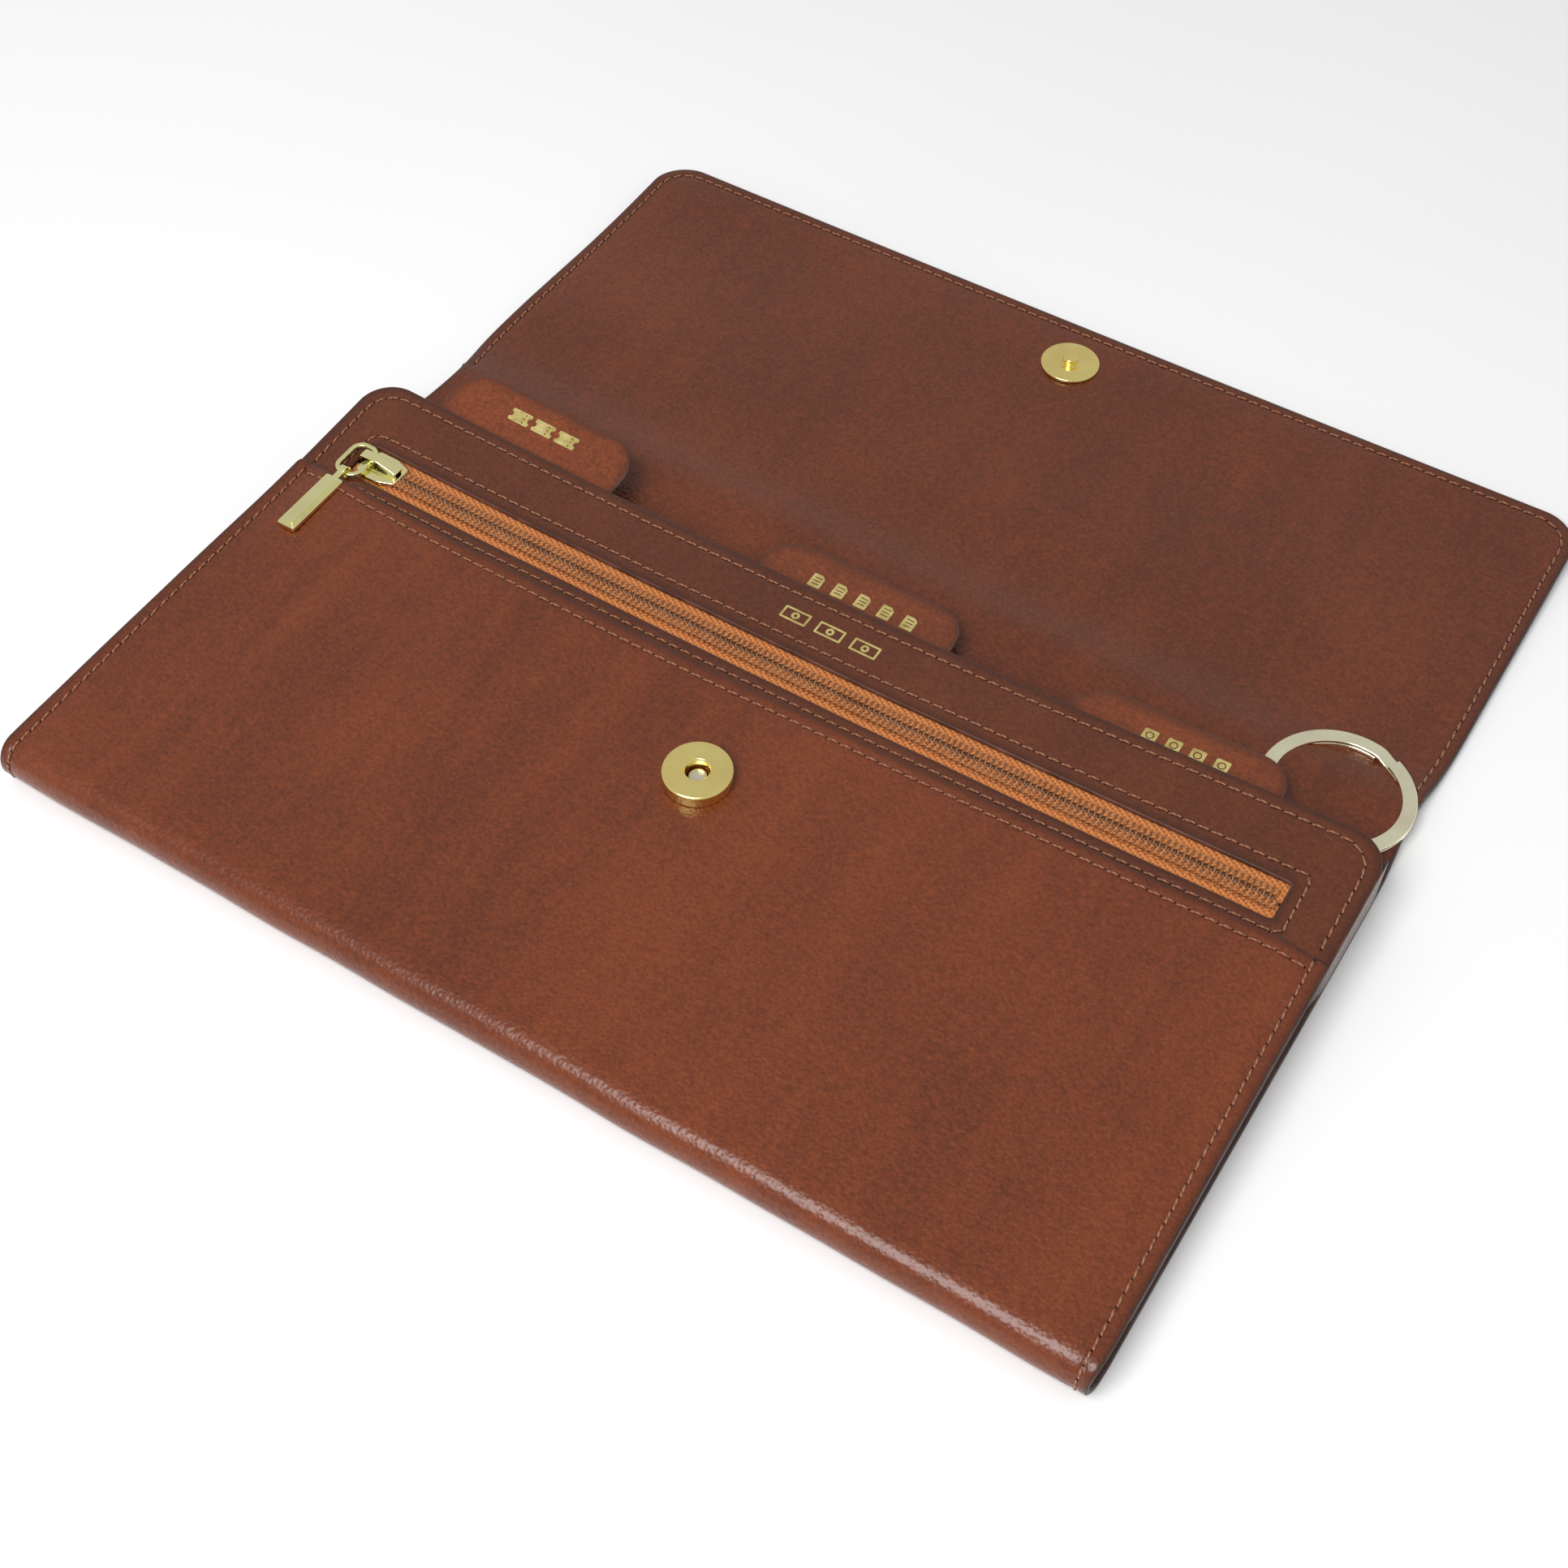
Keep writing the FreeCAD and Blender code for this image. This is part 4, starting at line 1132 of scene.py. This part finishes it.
def make_tapes():
    """The two tapes."""
    for side, name in ((1, "zip_tape_upper"), (-1, "zip_tape_lower")):
        def surface(x, y):
            return place_front(np.column_stack([x, y, np.full_like(x, TAPE_BOTTOM + TAPE)]))
        near, far = ZIP_Y + side * 0.4, ZIP_Y + side * 12.4
        loop = outline(rectangle(WINDOW[0] - 3, near, WINDOW[2] + 4, far))
        piece = sheet(name + "_woven", [loop], surface, TAPE,
                      (TAPE_TWILL, TAPE_TWILL, TAPE_TWILL), step=2.0, edge=0.15)
        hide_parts(name)
        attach(piece, "front")


# Hardware

def refined(name, node, bevel, material, body, lift=0.0):
    """A rigid CAD piece with its edges rounded, at the same place, raised by lift."""
    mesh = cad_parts[node].data.copy()
    mesh.name = name
    mesh.materials.clear()
    mesh.materials.append(material)
    work = bmesh.new()
    work.from_mesh(mesh)
    bmesh.ops.remove_doubles(work, verts=work.verts, dist=1e-6)
    bmesh.ops.dissolve_limit(work, angle_limit=math.radians(1), verts=work.verts,
                             edges=work.edges)
    if bevel > 0:
        corners = [e for e in work.edges
                   if len(e.link_faces) == 2 and e.calc_face_angle(0) > math.radians(28)]
        bmesh.ops.bevel(work, geom=corners, offset=bevel * MM, segments=3, profile=0.6,
                        affect="EDGES", clamp_overlap=True)
    for face in work.faces:
        face.smooth = True
    work.to_mesh(mesh)
    work.free()
    mesh.transform(Matrix.Translation((0, 0, lift * MM)))
    mesh.set_sharp_from_angle(angle=math.radians(50))
    obj = bpy.data.objects.new(name, mesh)
    bpy.context.scene.collection.objects.link(obj)
    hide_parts(node)
    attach(obj, body)
    return obj


def lathe(name, profile, x, y, material, tilt=None, around=96):
    """Turn a closed (radius, height) profile round an upright axis."""
    angles = np.linspace(0, 2 * math.pi, around, endpoint=False)
    profile = np.array(profile, float)
    count = len(profile)
    radius, height = profile[:, 0], profile[:, 1]
    points = np.array([[x + r * math.cos(a), y + r * math.sin(a), h]
                       for a in angles for r, h in zip(radius, height)])
    faces = []
    for i in range(around):
        for j in range(count):
            if radius[j] < 1e-9 and radius[(j + 1) % count] < 1e-9:
                continue
            a = i * count + j
            b = (i + 1) % around * count + j
            c = (i + 1) % around * count + (j + 1) % count
            d = i * count + (j + 1) % count
            faces.append((a, b, c, d))
    if tilt is not None:
        points = turn(points, *tilt)
    obj = make(name, points, faces, (material,), sharp=40)
    work = bmesh.new()
    work.from_mesh(obj.data)
    bmesh.ops.remove_doubles(work, verts=work.verts, dist=1e-7)
    bmesh.ops.dissolve_degenerate(work, edges=work.edges, dist=1e-7)
    work.to_mesh(obj.data)
    work.free()
    return obj


def rounded_profile(corners, segments=5):
    """Profile through (radius, height, rounding) corners."""
    places = [np.array(corner[:2], float) for corner in corners]
    points = []
    for i, corner in enumerate(corners):
        around = places[i - 1], places[i], places[(i + 1) % len(corners)]
        rounding = corner[2]
        step = rounding * math.pi / 2 / segments if rounding else 1.0
        points.extend(corner_points(*around, rounding, step))
    return points


CAP_RADIUS, CAP_HEIGHT = 7.3, 3.0
STUD_RADIUS, STUD_HEIGHT = 7.15, 2.35


def make_snap():
    """Both halves of the magnetic snap."""
    base = POCKET_TOP + front_lift(0.0, SNAP_Y) - METAL_SINK
    lean = (MOUTH_Y, MOUTH_Z, MOUTH_TILT)
    top = base + CAP_HEIGHT
    cap = rounded_profile([(6.4, base, 0), (CAP_RADIUS, base, 0.3), (CAP_RADIUS, top, 0.55),
                           (2.75, top, 0.22), (2.5, base + 2.7, 0.1),
                           (2.45, base + 0.6, 0), (3.0, base + 0.6, 0), (3.0, base + 2.5, 0),
                           (6.4, base + 2.5, 0)])
    piece = lathe("snap_socket", cap, 0, SNAP_Y, GOLD, lean)
    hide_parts("snap_cap")
    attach(piece, "front")
    post = rounded_profile([(0, base - 1.0, 0), (1.9, base - 1.0, 0), (1.9, base + 0.85, 0.2),
                            (1.5, base + 0.92, 0.1), (0, base + 0.88, 0)])
    piece = lathe("snap_post_head", post, 0, SNAP_Y, STEEL, lean, 48)
    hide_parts("snap_post")
    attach(piece, "front")

    low = flap_surface(np.array([0.0]), np.array([STUD_Y]))[0, 2] - METAL_SINK
    stud = rounded_profile([(0, low - 0.6, 0), (1.5, low - 0.6, 0), (1.5, low, 0),
                            (STUD_RADIUS, low, 0.15), (STUD_RADIUS, low + 0.75, 0.35),
                            (3.1, low + 0.8, 0.3), (2.6, low + 0.63, 0.2),
                            (1.9, low + 0.7, 0.15), (1.9, low + STUD_HEIGHT, 0.35),
                            (0, low + STUD_HEIGHT, 0)])
    sunk = low - BACK_THICKNESS
    refined("stud_washer_disc", "stud_washer", 0.0, STEEL, "flap", sunk)
    piece = lathe("snap_stud_disc", stud, 0, STUD_Y, GOLD)
    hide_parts("snap_stud")
    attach(piece, "flap")


def make_hidden():
    """Washer, magnet and zip stops: out of sight, the plain CAD shapes with a material."""
    for node, material in (("snap_washer", STEEL), ("snap_magnet", MAGNET), ("zip_stops", COIL)):
        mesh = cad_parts[node].data
        mesh.materials.clear()
        mesh.materials.append(material)


def cast_block(corners, low, high, rounding=0.2):
    """Solid with the given outline and both its faces' edges rounded."""
    loop = counter_clockwise(outline(corners, step=0.4))
    push = inward(loop)
    bend = np.linspace(0, math.pi / 2, 4)
    inset = rounding * (1 - np.sin(bend))
    rise = rounding * (1 - np.cos(bend))
    levels = list(zip(inset, low + rise)) + list(zip(inset[::-1], high - rise[::-1]))
    rings = [np.column_stack([loop + push * step, np.full(len(loop), z)]) for step, z in levels]
    return np.concatenate(rings), tube_faces(len(rings), len(loop))


def slider_outline(grow=0.0):
    """Slider plate from above: broad shoulders, narrower at both ends."""
    ends = ((SLIDER_X - grow, 2.9), (SLIDER_X + 2.2, 4.0), (SLIDER_X + 6.6, 4.0),
            (SLIDER_X + SLIDER_LENGTH + grow, 2.7))
    near = [(x, ZIP_Y - half - grow, 0.6) for x, half in ends]
    far = [(x, ZIP_Y + half + grow, 0.6) for x, half in reversed(ends)]
    return near + far


def slider_block(x0, x1, y0, y1, low, high):
    """Rectangular part of the slider: x from its end, y from the zip's middle."""
    corners = rectangle(SLIDER_X + x0, y0 + ZIP_Y, SLIDER_X + x1, y1 + ZIP_Y, near=0.15, far=0.15)
    return cast_block(corners, low, high, 0.1)


def slider_bridge():
    """Strap arched over the slider plate, ending in a squarer block."""
    low, roof = SLIDER_TOP - 0.1, LINK_Z + 0.8
    side = [(0.1, low, 0.1), (0.9, low, 0.1), (0.9, roof, 0.2), (4.5, roof, 0.8),
            (7.7, low + 0.7, 0.4), (8.1, low, 0.1), (9.9, low, 0.1), (9.9, low + 1.4, 0.4),
            (4.7, roof + 0.9, 1.5), (0.1, roof + 0.8, 0.7)]
    strap, faces = cast_block([(SLIDER_X + x, z, r) for x, z, r in side], -1.2, 1.2, 0.3)
    strap = np.column_stack([strap[:, 0], ZIP_Y - strap[:, 2], strap[:, 1]])
    return [(strap, faces, 0), (*slider_block(7.9, 9.9, -1.6, 1.6, low, low + 1.3), 0)]


def link_ring():
    """Rounded rectangular link of flat wire."""
    x = LINK_X - 3.0
    corners = rectangle(x - 3.6, LINK_Y - 5.2, x + 3.6, LINK_Y + 5.2, near=3.0, far=3.0)
    loop = counter_clockwise(outline(corners, step=0.4))
    push = inward(loop)
    wire = outline(rectangle(0.05, -0.35, 1.15, 0.35, near=0.16, far=0.3), step=0.2)
    rings = [np.column_stack([loop + push * inset, np.full(len(loop), LINK_Z + up)])
             for inset, up in wire]
    return np.concatenate(rings), tube_faces(len(rings), len(loop), closed=True)


def metal_piece(name, node, body, parts, lift):
    """A gold piece of the slider, in the node's place."""
    points, faces, _ = repeated(parts, [0.0])
    points = turn(points, MOUTH_Y, MOUTH_Z, MOUTH_TILT) + np.array([0, 0, lift])
    piece = make(name, points, faces, (PALE_GOLD,), sharp=45)
    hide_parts(node)
    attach(piece, body)


def make_slider():
    """Slider, bridge, link and pendant."""
    lift = front_lift(SLIDER_MIDDLE, ZIP_Y) - SLIDER_DROP
    plate_low = SLIDER_TOP - SLIDER_PLATE
    shell = [cast_block(slider_outline(), plate_low, SLIDER_TOP, 0.28),
             cast_block(slider_outline(-0.2), TAPE_BOTTOM - 0.75, TAPE_BOTTOM - 0.3, 0.2),
             slider_block(0.4, 2.6, -0.25, 0.25, TAPE_BOTTOM - 0.2, plate_low + 0.1)]
    for y0, y1 in ((-3.85, -3.1), (3.1, 3.85)):
        shell.append(slider_block(1.3, 7.4, y0, y1, TAPE_BOTTOM + TAPE + 0.15, plate_low + 0.1))
    metal_piece("slider_shell", "slider_body", "slider", [(*part, 0) for part in shell], lift)
    metal_piece("slider_arch", "slider_bridge", "slider", slider_bridge(), lift)
    metal_piece("puller_loop", "puller_link", "link", [(*link_ring(), 0)], lift)
    refined("puller_bar", "puller_pendant", 0.09, PALE_GOLD, "pendant", lift)


def make_ring():
    """Split ring: a flat band wound twice, stepping up past its own end."""
    start, ramp, gap = 77, 13, 3
    turned = np.linspace(0, 720 - ramp - gap, 280)
    angle = np.radians(start + turned)
    layer = RING_THICKNESS / 2
    height = RING_BOTTOM + layer / 2 + layer * smooth((turned - 360 + ramp) / ramp)
    half_w, half_h = (RING_OUTER - RING_INNER) / 2, layer / 2 - 0.02
    section = outline(rectangle(-half_w, -half_h, half_w, half_h, near=0.2, far=0.38), step=0.5)
    middle = (RING_OUTER + RING_INNER) / 2
    points = []
    for a, z in zip(angle, height):
        for across, up in section:
            r = middle + across
            points.append((RING_X + r * math.cos(a), RING_Y + r * math.sin(a), z + up))
    faces = tube_faces(len(angle), len(section))
    piece = make("split_ring", points, faces, (RING_GOLD,), sharp=50)
    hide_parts("key_ring")
    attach(piece, "key_ring")
    refined("key_strap_leather", "key_strap", 0.1, LEATHER_TAB, "key_strap")


def draped(name, node, lift, body):
    """A copy of foil marks that lies on the bent leather."""
    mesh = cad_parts[node].data.copy()
    mesh.materials.clear()
    mesh.materials.append(FOIL)
    co = np.array([tuple(v.co) for v in mesh.vertices])
    flat = (co - np.array([0, cad_low.y, 0])) / MM
    co[:, 2] += (lift(flat[:, 0], flat[:, 1]) + 0.02) * MM
    mesh.vertices.foreach_set("co", co.astype(np.float32).ravel())
    obj = bpy.data.objects.new(name, mesh)
    bpy.context.scene.collection.objects.link(obj)
    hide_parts(node)
    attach(obj, body)


def make_marks():
    """Gold pictograms on the front and the tabs."""
    def on_front(x, y):
        return front_lift(x, y) + 0.12 * ripple(x, y, 0.9)
    draped("marks_front", "foil_front", on_front, "front")
    for divider, node in zip(DIVIDERS, ("foil_rear", "foil_middle", "foil_tickets")):
        def on_tab(x, y, divider=divider):
            return divider.lift(x, y) + 0.08 * ripple(x, y + divider.tab, 0.7)
        draped(node.replace("foil", "marks"), node, on_tab, divider.name)


# Studio

def make_floor():
    """Pale floor."""
    reach = 3.0
    corners = [(-reach, -reach, 0), (reach, -reach, 0), (reach, reach, 0), (-reach, reach, 0)]
    floor = make("floor", np.array(corners), [(0, 1, 2, 3)], (floor_material(),), world=False)
    floor.location.z = -0.0002


def area_light(name, place, size, power, aim=(0, 0, 0)):
    """Soft square light aimed at a point."""
    data = bpy.data.lights.new(name, "AREA")
    data.size = size
    data.energy = power
    light = bpy.data.objects.new(name, data)
    light.location = place
    light.rotation_euler = (Vector(aim) - Vector(place)).to_track_quat("-Z", "Y").to_euler()
    bpy.context.scene.collection.objects.link(light)


def make_lights():
    """Soft key from the front left; surroundings bright in front and dim behind, so the
    flat leather shows its colour and the fold shines."""
    area_light("key", (-0.04, -0.66, 0.90), 0.56, 9.8)
    world = bpy.data.worlds.new("studio")
    world.use_nodes = True
    nodes, links = world.node_tree.nodes, world.node_tree.links
    split = nodes.new("ShaderNodeSeparateXYZ")
    ramp = nodes.new("ShaderNodeMapRange")
    links.new(nodes.new("ShaderNodeTexCoord").outputs["Generated"], split.inputs[0])
    links.new(split.outputs["Y"], ramp.inputs["Value"])
    ramp.interpolation_type = "SMOOTHSTEP"
    for name, value in (("From Min", -0.5), ("From Max", 0.45), ("To Min", 0.56), ("To Max", 0.54)):
        ramp.inputs[name].default_value = value
    nodes["Background"].inputs["Color"].default_value = (1, 1, 1, 1)
    links.new(ramp.outputs[0], nodes["Background"].inputs["Strength"])
    bpy.context.scene.world = world


def make_camera():
    """Camera above the front right corner."""
    data = bpy.data.cameras.new("camera")
    data.sensor_width = 36
    data.lens = 50.68
    camera = bpy.data.objects.new("camera", data)
    right = Vector((0.8463, 0.5324, 0.0174)).normalized()
    azimuth, elevation = math.radians(30.93), math.radians(51.28)
    place = Vector((0.1569, -0.2819, 0.3564))
    back = Vector((math.sin(azimuth) * math.cos(elevation),
                   -math.cos(azimuth) * math.cos(elevation), math.sin(elevation)))
    right = (right - back * right.dot(back)).normalized()
    up = back.cross(right)
    turned = Matrix((right, up, back)).transposed().to_4x4()
    camera.matrix_world = Matrix.Translation(place) @ turned
    bpy.context.scene.collection.objects.link(camera)
    bpy.context.scene.camera = camera


make_camera()
make_lights()
make_floor()
strip_seam = make_strip()
panel_seam = make_zip_panel()
flap_seam = make_flap()
make_stitches(strip_seam, panel_seam, flap_seam)
make_dividers()
make_gussets()
make_bag()
make_tapes()
make_coil()
make_snap()
make_hidden()
make_slider()
make_ring()
make_marks()
bpy.context.scene.view_settings.view_transform = "Standard"
